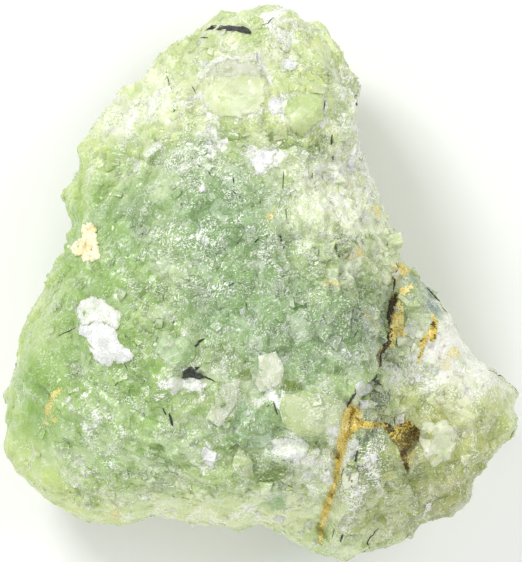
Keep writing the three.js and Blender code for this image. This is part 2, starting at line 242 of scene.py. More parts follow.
def patch(x, y, place, edge=LUMP_EDGE):
    """1 inside an oval patch, 0 outside, with a soft edge."""
    cx, cy, half_length, half_width, turn = place[:5]
    a, b = x - cx, y - cy
    along = (a * math.cos(turn) + b * math.sin(turn)) / half_length
    beside = (b * math.cos(turn) - a * math.sin(turn)) / half_width
    return ramp(-np.hypot(along, beside), -1 - edge, -1 + edge)


def patches(x, y, places, edge=LUMP_EDGE):
    """The strongest of several patches, each with its strength as the last value."""
    best = np.zeros_like(x)
    for place in places:
        best = np.maximum(best, place[5] * patch(x, y, place, edge))
    return best


def along_segment(x, y, start, end):
    """How far along a segment its nearest spot to each place lies, and the offset from that spot."""
    run_x, run_y = end[0] - start[0], end[1] - start[1]
    part = np.clip(((x - start[0]) * run_x + (y - start[1]) * run_y) / (run_x * run_x + run_y * run_y), 0, 1)
    return part, x - start[0] - part * run_x, y - start[1] - part * run_y


def path_gap(x, y, path):
    """Distance from each place to a path seen from above."""
    gap = np.full_like(x, FAR)
    for start, end in zip(path[:-1], path[1:]):
        _, gap_x, gap_y = along_segment(x, y, start, end)
        gap = np.minimum(gap, np.hypot(gap_x, gap_y))
    return gap


def ledge_rise(x, y, ledge):
    """Height of a ledge's step over each place."""
    path = ledge["path"]
    gap = np.full_like(x, FAR)
    side = np.zeros_like(x)
    run = np.zeros_like(x)
    for k, (start, end) in enumerate(zip(path[:-1], path[1:])):
        part, gap_x, gap_y = along_segment(x, y, start, end)
        here = np.hypot(gap_x, gap_y)
        nearer = here < gap
        gap = np.where(nearer, here, gap)
        left = (end[0] - start[0]) * gap_y - (end[1] - start[1]) * gap_x
        side = np.where(nearer, np.sign(left), side)
        run = np.where(nearer, (k + part) / (len(path) - 1), run)
    ends = ramp(run, 0, LEDGE_ENDS) * ramp(1 - run, 0, LEDGE_ENDS)
    step = ramp(side * gap, -LEDGE_SOFTNESS, LEDGE_SOFTNESS) - 0.5
    return ledge["height"] * step * ramp(-gap, -ledge["reach"], 0) * ends


def pit_share(x, y):
    """How far each place lies down the four-cornered pit, 0 to 1."""
    a, b = x - PIT["x"], y - PIT["y"]
    cosine, sine = math.cos(PIT["turn"]), math.sin(PIT["turn"])
    corner_gap = np.abs(a * cosine + b * sine) + np.abs(b * cosine - a * sine)
    return np.clip((1 - corner_gap / PIT["radius"]) / (1 - PIT["floor"]), 0, 1)


def block_relief(points, size):
    """The nearest block's tilted plate, stepping to its neighbour's at their border."""
    count, salt = size["count"], size["salt"]
    k = np.arange(count)
    jitter = np.stack([chance(k, salt), chance(k, salt + 1), chance(k, salt + 2)], -1) * 2 - 1
    centres = body_points(unit(spiral(count) + BLOCK_SCATTER / math.sqrt(count) * jitter))
    tree = kdtree.KDTree(count)
    for index, centre in enumerate(centres):
        tree.insert(centre, index)
    tree.balance()
    found = [tree.find_n(point, 2) for point in points]
    near = np.array([(pair[0][1], pair[1][1]) for pair in found])
    gap = np.array([pair[1][2] - pair[0][2] for pair in found])

    def plate(index):
        lean = np.stack([chance(index, salt + 4), chance(index, salt + 5), chance(index, salt + 6)], -1)
        tilt = size["tilt"] * np.sum((lean * 2 - 1) * (points - centres[index]), axis=1)
        return (chance(index, salt + 3) * 2 - 1) * size["height"] + tilt

    own = 0.5 + 0.5 * ramp(gap, 0, size["border"])
    return own * plate(near[:, 0]) + (1 - own) * plate(near[:, 1])


def calm_share(x, y):
    return np.clip(sum(patch(x, y, place) for place in CALM_PATCHES), 0, 1)


def swell(x, y, z):
    """Slow waves over the whole stone."""
    return np.sin(0.33 * x + 1.3 * np.sin(0.21 * y)) + np.sin(0.29 * y + 1.1 * np.sin(0.27 * z) + 1)


def crack_depth(x, y, path, width, depth):
    """Depth of a rounded crack along a path."""
    return depth * np.exp(-(path_gap(x, y, path) / (CRACK_ROUNDING * width)) ** 2)


def stone_points(directions):
    """The finished surface: body, named lumps, crack, blocks and crystals."""
    body = body_points(directions)
    x, y, z = body.T
    front = ramp(z, *CRYSTAL_SIDE)
    beyond = x - np.interp(y, SEAM[::-1, 1], SEAM[::-1, 0])
    drop = np.interp(y, SEAM_DROP[::-1, 0], SEAM_DROP[::-1, 1])
    named = -drop * ramp(beyond, -SEAM_SOFTNESS, SEAM_SOFTNESS)
    for lump in LUMPS:
        named += lump[5] * patch(x, y, lump)
    for ledge in LEDGES:
        named += ledge_rise(x, y, ledge)
    ball = on_ball(unit(directions))
    belt = np.hypot(ball[:, 0], ball[:, 1]) ** BELT_FADE
    calm = calm_share(x, y)
    coarse, fine = BLOCK_SIZES[:PACKED_SIZES], BLOCK_SIZES[PACKED_SIZES:]
    plates = (1 - CALMING * calm) * sum(block_relief(body, size) for size in coarse)
    plates += (1 - CALMING * calm * front) * sum(block_relief(body, size) for size in fine)
    relief = (named * front + SWELL * swell(x, y, z)) * (1 - belt) + plates - RIM_SHRINK * belt
    points = body + unit(directions) * relief[:, None]
    seam_cut = crack_depth(x, y, SEAM, SEAM_WIDTH, SEAM_DEPTH)
    branch_cut = crack_depth(x, y, BRANCH, BRANCH_WIDTH, BRANCH_DEPTH)
    cut = np.maximum(np.maximum(seam_cut, branch_cut), PIT_OPEN * PIT["depth"] * pit_share(x, y))
    points[:, 2] = np.maximum(points[:, 2] - cut * front, 0)
    return points


def ball_grid(steps):
    """Directions and quads of a cube whose faces are cut into a grid."""
    line = np.tan(np.linspace(-1, 1, steps + 1) * math.pi / 4)
    index_of, corners, quads = {}, [], []
    for axis in range(3):
        for sign in (-1, 1):
            index = np.empty((steps + 1, steps + 1), int)
            for row, a in enumerate(line):
                for column, b in enumerate(line):
                    corner = [0, 0, 0]
                    corner[axis] = sign
                    corner[(axis + 1) % 3] = a
                    corner[(axis + 2) % 3] = b
                    key = tuple(round(value, 6) for value in corner)
                    index[row, column] = index_of.setdefault(key, len(corners))
                    if index[row, column] == len(corners):
                        corners.append(corner)
            ring = [index[:-1, :-1], index[1:, :-1], index[1:, 1:], index[:-1, 1:]]
            quads.append(np.stack(ring if sign > 0 else ring[::-1], -1).reshape(-1, 4))
    directions = unit(np.array(corners, float))
    directions[:, 2] += FACE_SHARE * (1 - directions[:, 2] ** 2)
    return unit(directions), np.vstack(quads)


def put(name, data):
    """An object of this data in the scene."""
    thing = bpy.data.objects.new(name, data)
    bpy.context.scene.collection.objects.link(thing)
    return thing


def make_piece(name, points, faces, material, crease=None):
    """A mesh object of the stone from points in millimetres."""
    mesh = bpy.data.meshes.new(name)
    mesh.from_pydata((np.asarray(points) * MM).tolist(), [], [list(face) for face in faces])
    mesh.materials.append(material)
    piece = put(name, mesh)
    if crease is not None:
        mesh.shade_smooth()
        mesh.set_sharp_from_angle(angle=math.radians(crease))
    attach(piece, "root")
    return piece


# Studio: the camera looks straight down, and its frame is 522 by 562 at the belt's level
FRAME_HEIGHT = 62.4
LENS, SENSOR = 500.0, 36.0
DISTANCE = FRAME_HEIGHT * LENS / SENSOR
EYE = np.array([-0.1, -0.1, BELT_HEIGHT + DISTANCE])

# The floor, the lights and the camera's near limit in metres; a light has a name, place, side and watts
FLOOR_HALF, FLOOR_COLOUR, FLOOR_ROUGHNESS = 1.5, (0.96, 0.96, 0.96), 0.9
NEAREST, WORLD_STRENGTH = 0.01, 0.42
LIGHTS = [
    ("key_light", (-0.2, 0.26, 0.36), 0.14, 1.2), ("fill_light", (0.3, 0.1, 0.4), 0.3, 0.9),
    ("low_light", (-0.2, -0.34, 0.3), 0.3, 0.85)]


def seen_from_above(points):
    """Where each point shows on the belt's level, as the camera sees it."""
    reach = DISTANCE / (EYE[2] - points[:, 2])
    return EYE[0] + (points[:, 0] - EYE[0]) * reach, EYE[1] + (points[:, 1] - EYE[1]) * reach


def linear(red, green, blue):
    """An sRGB colour of 0 to 255 as linear light."""
    parts = [value / 255 for value in (red, green, blue)]
    return tuple(value / 12.92 if value < 0.04045 else ((value + 0.055) / 1.055) ** 2.4 for value in parts)


# Colours of the crystal
PALE = linear(209, 223, 164)
CAP = linear(214, 226, 160)
CREAM = linear(238, 242, 210)
RIDGE = linear(242, 239, 234)
MINT = linear(160, 193, 112)
LEAF = linear(143, 179, 88)
TEAL = linear(149, 180, 128)
DUSK = linear(120, 146, 98)
YELLOW = linear(203, 218, 124)
OLIVE = linear(128, 150, 70)
# Painted shade for the lower right underside, which turns away from the light
UNDERSIDE_PAINTED_SHADE = linear(126, 136, 72)
BLOCK = linear(208, 214, 188)
BEIGE = linear(190, 204, 150)
SAND = linear(193, 195, 122)
LENS_GREEN = linear(220, 230, 184)
PEARL = linear(252, 254, 228)
MILKY = linear(168, 196, 138)
ASH = linear(212, 217, 214)
# A painted dark sheen for the right rim
SLATE_PAINTED_SHEEN = linear(150, 170, 164)
FROST = linear(247, 249, 241)
GREY = linear(84, 96, 84)

# Colours of what has weathered in the cracks, of the cream grains and of the needles
MUSTARD = linear(254, 240, 172)
OCHRE = linear(230, 207, 102)
BROWN = linear(86, 66, 26)
PEACH = linear(245, 233, 190)
IVORY = linear(252, 247, 218)
TAN = linear(214, 180, 112)
NEEDLE = linear(22, 26, 22)
NEEDLE_SHEEN = linear(58, 66, 54)
NEEDLE_DUST = linear(128, 140, 112)

# Stone material: its deeper and milky tints, sizes of cells and fibres, noises, and where the stain begins
DEEP = linear(238, 243, 228)
DEEPER = linear(218, 230, 204)
HAZE = linear(236, 241, 224)
MILKINESS = 0.4
MID_GREY = (0.5, 0.5, 0.5)
BLOCK_CELL, CRUMB_CELL = 2.1, 0.9
FIBRE, FIBRE_MIDDLE = (0.15, 0.6), (0.08, 0.05, 0.5)
WARP, WARP_NOISE = 0.6, (0.8, 1.5)
STONE_NOISES = dict(patchy=(1.35, 3.5, 0.52), cloud=(3.6, 3.0), grit=(0.14, 0.0))  # size, detail, roughness
CLUMP_NOISE = (2.2, 2.0, 0.6)
STAIN_SPAN = (1.14, 1.26)

# Seeds of the random draws, and the angles from which an edge of a smooth mesh is sharp
SEEDS = dict(masks=5, plates=7, shards=11, flakes=23, needles=31, ochre=43, cream=57)
STONE_CREASE, PLATE_CREASE = 24, 20

# Where the colours lie on the crystal side, some of them painted shade, highlight and sheen: x, y, half
# length, half width, turn, strength
TINTS = [
    (CAP, [
        (-2, 22, 13, 11, 0, 0.95), (6, 15, 7, 8, 0, 0.6), (-12, 19, 7, 5, 0.5, 0.8)]),
    (CREAM, [
        (10, 10.5, 4.5, 7, 0.3, 0.85), (6.5, 8, 5, 4.5, 0, 0.6), (10, 20, 2.5, 6, 0, 0.6),
        # The cream band at -14.5, 18.4 is a painted highlight on the upper left facet, which faces the light
        (-14.5, 18.4, 7, 2.4, 0.5, 0.95), (-3, 24.5, 5, 2, 0, 0.6), (-8, -26.2, 13, 2.4, 0, 0.9),
        (-4, -24, 7, 3, 0, 0.75), (19, -9.5, 5, 3, -0.2, 0.7)]),
    (RIDGE, [(22.5, -9.4, 4.2, 6.5, 0.5, 0.95), (24.6, -14, 2.4, 3.4, 0.2, 0.7)]),
    (YELLOW, [
        (-19.8, 9.5, 3.2, 9, 0, 0.9), (-22.6, 0, 3.4, 8, -0.3, 0.75), (-27.4, -14, 2.6, 9, 0, 0.8),
        (-21, -25, 10, 3.2, -0.3, 0.75), (-6, -24.6, 13, 3.6, 0, 0.6), (8, 24, 4, 5, 0.3, 0.5),
        (22.4, -17.4, 6.5, 3.4, 0.5, 0.7), (14.5, -23, 2.5, 6, 0, 0.7), (7.5, 17, 2.4, 1.6, 0, 0.5),
        (18, -13.3, 4, 1.5, 0, 0.6)]),
    (MINT, [
        (-17.5, 2.5, 7, 10, 0, 0.95), (-20, -12, 9, 9, 0, 0.9), (-14.5, -17.5, 9, 6.5, 0, 0.85),
        (-11, 9, 7, 6, 0, 0.5), (-8, -5, 7, 7, 0, 0.5), (-3.5, -20.5, 8, 4, 0, 0.5)]),
    (LEAF, [
        (-25.2, -13.2, 2.4, 3.8, 0, 0.95), (-19, -3, 5, 4, 0.5, 0.6), (-14.4, -8.5, 2.4, 4, 0, 0.6),
        (-12.5, -12, 3, 3, 0, 0.6), (-2.2, -16.2, 4.2, 3.4, 0, 0.7), (-15, 1, 2, 3, 0, 0.4)]),
    (TEAL, [
        (-4.1, 6.2, 7, 7.5, 0, 0.95), (-1, -2.1, 9, 6.5, 0, 0.9), (4.2, -6.4, 9, 6, 0, 0.9),
        (-12.3, 6.7, 5, 5, 0, 0.5), (2.5, -15.5, 3, 4, 0, 0.5), (-7, 13, 5, 3, 0.3, 0.5)]),
    (DUSK, [
        (10.4, -5.2, 3.6, 5, 0, 0.75), (1.2, 3.4, 2.6, 2.4, 0, 0.5), (3.4, -7, 4.2, 2.4, 0, 0.5),
        (-13.4, 7.2, 1.8, 1.4, 0, 0.5), (-7.4, -10.2, 2.2, 2.6, 0, 0.4), (11.6, -19.5, 1.6, 5.5, -0.1, 0.8),
        (0, -15.5, 7, 6, 0, 0.3), (18.2, -2.2, 1.6, 3, 0.75, 0.5)]),
    # The first two olive patches are painted shade in the hollow under the two domes
    (OLIVE, [
        (0.9, 15.4, 0.9, 0.8, 0, 0.8), (4.9, 14.5, 2.9, 1.1, 0, 0.8), (9.1, 4.7, 0.8, 1.2, 0, 0.8),
        (18, -22.4, 2.2, 3.8, -0.6, 0.75), (12.8, -23, 4, 6.5, 0, 0.65), (9, 21, 2, 2.6, 0, 0.35),
        (11.5, -17.5, 2.4, 2, 0, 0.35)]),
    # Painted shade on the lower right underside
    (UNDERSIDE_PAINTED_SHADE, [(20.6, -25.4, 5.5, 2.2, 0.45, 0.9), (24.4, -21.6, 3, 1.4, 0.6, 0.7)]),
    (SAND, [(20.5, -17, 7, 5, 0, 0.7), (21, -22.5, 6, 4, 0.5, 0.7), (13, -23.5, 4, 6, 0, 0.45)]),
    # Painted dark sheen along the right rim
    (SLATE_PAINTED_SHEEN, [(18.9, -1.9, 2.4, 0.55, -0.87, 0.95)]),
]

# Where the crystals are sugary, and where they are smooth
SUGAR_PATCHES = [
    (-8, 13.8, 4, 4.2, 0, 1), (-4, 3, 10, 8, 0, 0.75), (-14, -13.5, 6, 5, 0, 0.6),
    (10.5, -21, 3.5, 5.5, 0, 1), (16, -10, 3.5, 3, 0, 0.7), (0, 26.5, 8, 3.5, 0, 0.6),
    (-13, 17.5, 7, 4, 0.4, 0.8), (4.5, -21.5, 4, 3, 0, 0.6), (-20, -20, 6, 3, 0, 0.4),
    (19, -11.5, 5, 4, 0, 0.5), (21, -21, 5, 4, 0, 0.5), (-3, 22, 8, 5, 0, 0.45), (12, 13, 3, 6, 0, 0.6)]
SMOOTH_PATCHES = [
    (-25.4, -13, 4, 12, 0, 1), (-9, -26.4, 14, 1.6, 0, 1), (23, -9.5, 3.2, 6, 0.5, 0.6),
    (7.7, 7.8, 5, 2.3, 0, 0.9), (-21.5, 9, 3, 9, 0, 0.8), (-14.5, 18.8, 7, 2.8, 0.5, 0.8),
    (-4, 22, 5, 5, 0, 0.2), (-18, 0, 5, 11, 0, 0.6), (-17, -16, 7, 5, 0, 0.5), (19, -13, 5, 2.5, 0, 0.3),
    (19.5, -18.5, 3, 3.5, 0, 0.4), (-14, 11, 4, 4, 0, 0.6), (-10, -9, 4, 3, 0, 0.5),
    (4, -14.5, 4, 2.5, 0, 0.6)]

# White breaks: narrow veins as x, y and width, then patches, and below them ochre spots and dark spots
FROST_VEINS = [
    [(-6.8, 22.7, 0.6), (-6.1, 23.7, 0.7), (-4.7, 24.4, 0.7), (-2.6, 24.8, 0.8), (-0.7, 24.2, 0.6),
     (0.5, 23.2, 0.5), (0.9, 21.8, 0.5)],
    [(-6.8, 19.7, 0.4), (-5.4, 17.9, 0.5), (-4.2, 18.6, 0.5), (-2.2, 18.1, 0.4), (0.5, 18.8, 0.4)],
    [(7.0, 17.6, 0.5), (5.3, 16.5, 0.6), (4.6, 16.0, 0.6), (3.7, 16.6, 0.5)],
    [(2.9, 20.4, 0.3), (4.7, 20.7, 0.4), (6.5, 20.6, 0.4), (7, 20, 0.4), (7.2, 18.6, 0.4), (7, 17.6, 0.5)],
    [(2.4, -12.5, 0.5), (2.6, -13.6, 0.8), (2.8, -15.4, 0.4)],
    [(-9.6, 4.4, 0.2), (-7.6, 4.9, 0.4), (-5.9, 4.3, 0.3)]]
FROST_PATCHES = [
    # The first frost patch is a painted highlight along the same upper left facet
    (-13.6, 18.4, 5.6, 1.8, 0.5, 0.55), (22.6, -8.4, 2.6, 4.4, 0.5, 0.4),
    (-8.0, 13.8, 3.3, 3.4, 0, 0.44), (-7.6, 19.5, 0.8, 1.0, 0, 0.95), (1.0, 14.0, 0.8, 0.8, 0, 0.8),
    (2.6, 18.2, 0.4, 0.7, 0, 0.7), (3.9, 16.3, 0.9, 0.7, 0, 0.7), (2.1, 27.1, 2.1, 1.6, 0, 0.7),
    (1.6, 29.6, 1.6, 0.8, 0, 0.9), (0.7, -13.3, 1.5, 1.2, 0, 0.9),
    (9.7, 20, 2, 6, 0, 0.5), (11.9, 13.3, 2.2, 5.5, 0.2, 0.7), (8, 9.4, 4.5, 5, 0, 0.55),
    (2.6, 25.8, 3, 2.6, 0, 0.45), (1.4, 19.4, 0.9, 1.2, 0, 0.8), (-5.5, 16.4, 1.4, 2, 0, 0.7),
    (0.4, 13.3, 1.8, 1.6, 0.5, 0.75), (-7.3, 4.6, 1.9, 0.5, 0, 0.9), (-9.8, -7.8, 2.5, 1.8, 0, 0.45),
    (-8.7, -11.8, 2.2, 1.1, 0, 0.9), (-19.5, -12.4, 2, 0.7, 0.2, 0.7), (-18.8, -15.8, 1.8, 0.7, 0, 0.7),
    (-22.4, -11.2, 1.6, 0.7, 0.3, 0.5), (-16.2, -17, 0.7, 0.6, 0, 0.6), (-16.9, -19.7, 1.4, 0.9, 0, 0.6),
    (-18.7, -22, 0.7, 0.5, 0, 0.6), (3, -18.9, 2.3, 1.2, 0, 0.75), (8.6, -18.6, 1.6, 3.2, -0.3, 0.7),
    (-6, -19.7, 0.8, 1.2, 0, 0.6), (-9, -26.4, 10, 0.9, 0, 0.5), (-1.5, -26.2, 5, 1, 0, 0.5),
    (-3, 23.2, 3.9, 1.3, 0, 0.5), (5.4, 16.9, 2.6, 0.6, -0.2, 0.6), (-6.6, 13.4, 1.5, 0.9, 0, 0.5),
    (12.2, -20.4, 1.8, 2.2, 0, 0.65), (9.9, -24.6, 1.2, 2.4, 0, 0.6), (-12.6, 12.9, 3, 1.4, 0.4, 0.55),
    (15.6, -9.8, 2.6, 1.3, -0.3, 0.6), (24.5, -12, 1.6, 3.6, 0.6, 0.3), (17.6, -11, 3, 1.1, 0, 0.5),
    (-2, 9, 3, 0.8, 0.5, 0.4), (4.6, 12.4, 1.4, 2, 0, 0.5), (-10.4, 5.2, 2.2, 1.2, 0.6, 0.4),
    (-5, 0, 2.4, 1.2, 0.4, 0.3), (7.8, -13, 2, 1, 0, 0.35), (-4.6, -8.6, 3.2, 2, 0.3, 0.4)]
OCHRE_PATCHES = [
    (20.6, -8.7, 1.2, 0.9, 0, 0.55), (19.3, -15, 0.7, 0.4, 0, 0.7), (21.4, -22.4, 1.1, 0.5, 0.4, 0.55),
    (13.3, 7.3, 0.7, 1.8, 0, 0.6), (7.4, 11.6, 0.35, 0.35, 0, 0.7), (10, 10.7, 0.6, 0.35, 0, 0.75),
    (10.7, 9.5, 0.35, 0.3, 0, 0.7), (1.3, 7.8, 0.8, 0.5, 0, 0.6), (10.6, 2.7, 1.2, 0.6, -0.4, 0.85),
    (8, -0.7, 1.7, 0.6, 0, 0.65), (-23, -14.4, 0.8, 2.2, 0, 0.55), (-2.6, 18.8, 0.35, 0.3, 0, 0.7),
    (-17.2, -24.5, 0.4, 0.3, 0, 0.8), (-15.7, -26.6, 0.9, 0.4, 0, 0.6), (15.6, 0.9, 0.9, 1.3, 0.5, 0.6),
    (15.9, -20.4, 0.8, 1.2, 0, 0.6), (14.4, -21.6, 0.5, 3.4, 0.1, 0.35), (12.2, -5, 0.3, 1.1, 0, 0.5)]
DARK_PATCHES = [
    # The dark spots beside the crack in the lower lobe, from 11.8, -16.6 down, are partly painted shadow of
    # the crack and partly grey speckle
    (12.9, -12.4, 1.6, 0.7, -0.1, 0.8), (13.6, -13.6, 1.2, 0.8, 0.2, 0.7), (11.8, -16.6, 1.9, 0.8, 0.8, 0.85),
    (10.5, -18.6, 0.6, 2.8, -0.2, 0.85), (11.2, -21, 1.3, 3, -0.2, 0.62), (13.9, 5.2, 0.35, 1.2, 0, 0.6),
    (-13.2, 7.3, 1.2, 0.5, 0.3, 0.35), (-3, 9.5, 1.0, 0.6, -0.6, 0.45), (1.2, 3.2, 0.8, 1.2, 0.2, 0.45),
    (12.8, -9.2, 0.7, 1.6, -0.3, 0.5), (24.6, -22.8, 3.4, 0.4, 0.5, 0.35)]
ROUND_EDGE, MASK_EDGE = 0.6, 0.5

# Weathered veins: how brown, then x, y and width along each
VEINS = [
    (0.1, [(9.8, -14.1, 0.9), (10.1, -15.1, 2.1), (9.7, -16.2, 1.9), (9.1, -17.5, 1.15), (8.7, -19.1, 0.9),
           (8.4, -20.8, 0.66), (8.1, -22.4, 0.6), (7.6, -24.1, 0.55), (7.3, -25.0, 0.82), (6.9, -26.3, 0.66),
           (6.6, -27.6, 0.44), (6.5, -29.3, 0.16)]),
    (0.15, [(10.4, -16.0, 0.8), (11.9, -16.1, 0.6), (13.0, -16.1, 0.44), (13.9, -16.2, 0.25)]),
    (0.85, [(13.6, -16.0, 0.3), (14.1, -16.5, 0.9), (14.6, -17.0, 0.5)]),
    (0.1, [(18.9, -3.8, 0.25), (19.3, -4.9, 0.35), (19.2, -6.0, 0.35), (18.9, -6.7, 0.25)]),
    (0.5, [(17.8, -7.7, 0.25), (17.3, -9.2, 0.14)]),
    (0.9, [(14.9, -1.6, 0.4), (14.5, -2.5, 0.7), (14.2, -3.9, 0.4), (14.1, -4.9, 0.25), (14.3, -5.7, 0.35),
           (14.0, -6.9, 0.6), (13.4, -7.7, 0.5), (12.9, -8.5, 0.4), (13.2, -9.5, 0.2)]),
    (0.9, [(15.6, -18.9, 0.6), (15.9, -20.1, 0.5), (16.2, -21.2, 0.2)]),
]
# Crusts: how brown, then the outline
CRUSTS = [
    (0.0, [(15.16, -1.29), (15.57, -0.88), (16.39, -0.5), (16.94, -0.55), (16.5, -1.1), (15.84, -1.54),
           (15.73, -2.31), (15.68, -3.19), (15.68, -4.07), (15.79, -4.84), (16.04, -5.72), (16.04, -6.53),
           (15.51, -6.05), (15.07, -6.05), (14.85, -6.71), (14.52, -7.48), (14.25, -7.48), (14.19, -6.49),
           (14.19, -5.61), (14.25, -4.84), (14.41, -4.07), (14.85, -3.19), (15.13, -2.31)]),
    (0.0, [(15.18, 1.82), (15.73, 1.65), (16.28, 0.99), (16.17, 0.33), (15.51, 0.44), (15.13, 1.21)]),
    (0.4, [(17.3, -7.0), (18.1, -6.1), (18.7, -5.3), (18.9, -4.5), (19.3, -5.0), (19.3, -6.3), (18.9, -6.7),
           (18.5, -6.65), (18.15, -7.0), (17.8, -7.7)])]
CREAM_CLUMP = [
    (-19.2, 6.3), (-18.4, 5.7), (-18.4, 5.0), (-18.3, 3.9), (-18.1, 2.4), (-19.1, 2.2), (-20.0, 2.3),
    (-19.8, 2.8), (-20.7, 3.0), (-21.0, 3.6), (-20.3, 4.3), (-19.6, 4.9), (-20.1, 5.6)]

# Dark needles and cracks that lie in the crystal: greatest width, then the path
NEEDLES = [
    (0.18, [(-6.8, 26.9), (-6, 26.9)]), (0.12, [(-0.3, 28.2), (1.3, 29.2)]),
    (0.11, [(-10.6, 22.8), (-10.1, 21)]), (0.11, [(-7.8, 21.7), (-7.3, 20.6)]),
    (0.13, [(-9.9, 18.6), (-9.6, 19)]), (0.17, [(6.9, 20.4), (6.8, 18.3)]),
    (0.32, [(10.6, 20.5), (10.4, 19.6), (10.6, 18.4)]), (0.32, [(7.8, 16.1), (7.6, 14.7), (7.9, 13.3)]),
    (0.15, [(5.6, 11.9), (5.6, 10.2)]), (0.10, [(2.4, 12.2), (2.3, 9.6)]), (0.10, [(2.6, 8), (2.8, 6.5)]),
    (0.14, [(-7.2, 12.9), (-6.8, 12.5)]), (0.12, [(-6, 12.2), (-5.6, 11.4)]),
    (0.19, [(-3.2, 11.4), (-3.1, 10.7)]), (0.13, [(-3.3, 9.9), (-2.9, 9.6), (-2.3, 9.1)]),
    (0.15, [(-1, 10.3), (-0.8, 10.2)]), (0.18, [(-0.8, 4.2), (-0.3, 4.7)]),
    (0.12, [(-2.9, 3.9), (-2.5, 4.3)]), (0.31, [(2, 5), (2.4, 3.5)]), (0.18, [(-3.7, -0.7), (-3.1, -0.3)]),
    (0.1, [(-1.8, -2.4), (-1.6, -3.4)]), (0.17, [(8, 2.5), (9.1, 2.8)]),
    (0.12, [(-22.7, -6.3), (-20.6, -5.2)]), (0.12, [(-15.3, -9.3), (-14.9, -10)]),
    (0.13, [(-16.4, -11.8), (-15.8, -11.2)]), (0.20, [(-6.4, -10.7), (-5.2, -11.3)]),
    (0.33, [(-7.5, -7.4), (-6.9, -6.8), (-6.4, -6.5)]), (0.28, [(-11, -14.2), (-10.6, -15)]),
    (0.33, [(-10.3, -14.8), (-9.9, -16.2)]), (0.14, [(2.5, -16.2), (3.1, -16)]),
    (0.14, [(10.2, -6.4), (10.7, -5.5)]), (0.09, [(9, -7), (9.2, -6.4)]),
    (0.18, [(7.7, -16.1), (8, -15.4)]), (0.42, [(9.5, -14.1), (10, -13.1), (10.4, -12.1)]),
    (0.20, [(13.3, -9.2), (12.8, -10.7), (12.4, -11.3)]), (0.18, [(11.7, -11.3), (13.4, -11.8)]),
    (0.28, [(10.6, -18.9), (10.2, -21.4), (9.9, -23)]), (0.13, [(9.1, -20.8), (8.8, -22)]),
    (0.18, [(13, -27.5), (12, -28.6), (11.1, -30.4)]), (0.24, [(9, -28.2), (8.7, -29.1)]),
    (0.14, [(8.1, -27.4), (7.8, -28.6)]), (0.09, [(3.1, -18.5), (6.7, -18.8)]),
    (0.24, [(1.3, -13.5), (1.8, -15)]), (0.11, [(0.2, -14.3), (0.9, -13.8)]),
    (0.14, [(25.1, -10), (26.5, -10.6), (27.6, -11.6), (28.4, -12.9)]),
    (0.17, [(27.8, -15.3), (28.5, -16.2), (27.5, -17.6)]),
    (0.18, [(18.3, -0.8), (19.6, -2.2), (20.6, -3.6)]), (0.24, [(14.9, 1.9), (14.8, 0.1), (14.6, -1.2)]),
    (0.34, [(14.6, -1.4), (14.3, -2.8), (14, -4.6)]), (0.3, [(14, -6.2), (13.6, -7.4), (13.1, -8.8)]),
    (0.2, [(13.4, -8.6), (12.5, -11.2)])
]

# Outlines of the broad dark blade near the top and of the cluster in the middle
BLADE = [
    (-6.24, 27.75), (-5.6, 27.9), (-5.06, 27.8), (-4.2, 27.6), (-3.3, 27.7), (-2.4, 27.5), (-1.28, 27.3),
    (-1.19, 27.6), (-1.54, 27.96), (-2.24, 28.25), (-3.64, 28.3), (-5.58, 28.3)]
CLUSTER = [
    (-8.9, -10.9), (-8.6, -10.0), (-8.0, -9.6), (-6.8, -9.6), (-7.4, -10.3), (-6.1, -10.7), (-6.9, -11.0),
    (-7.9, -10.8)]

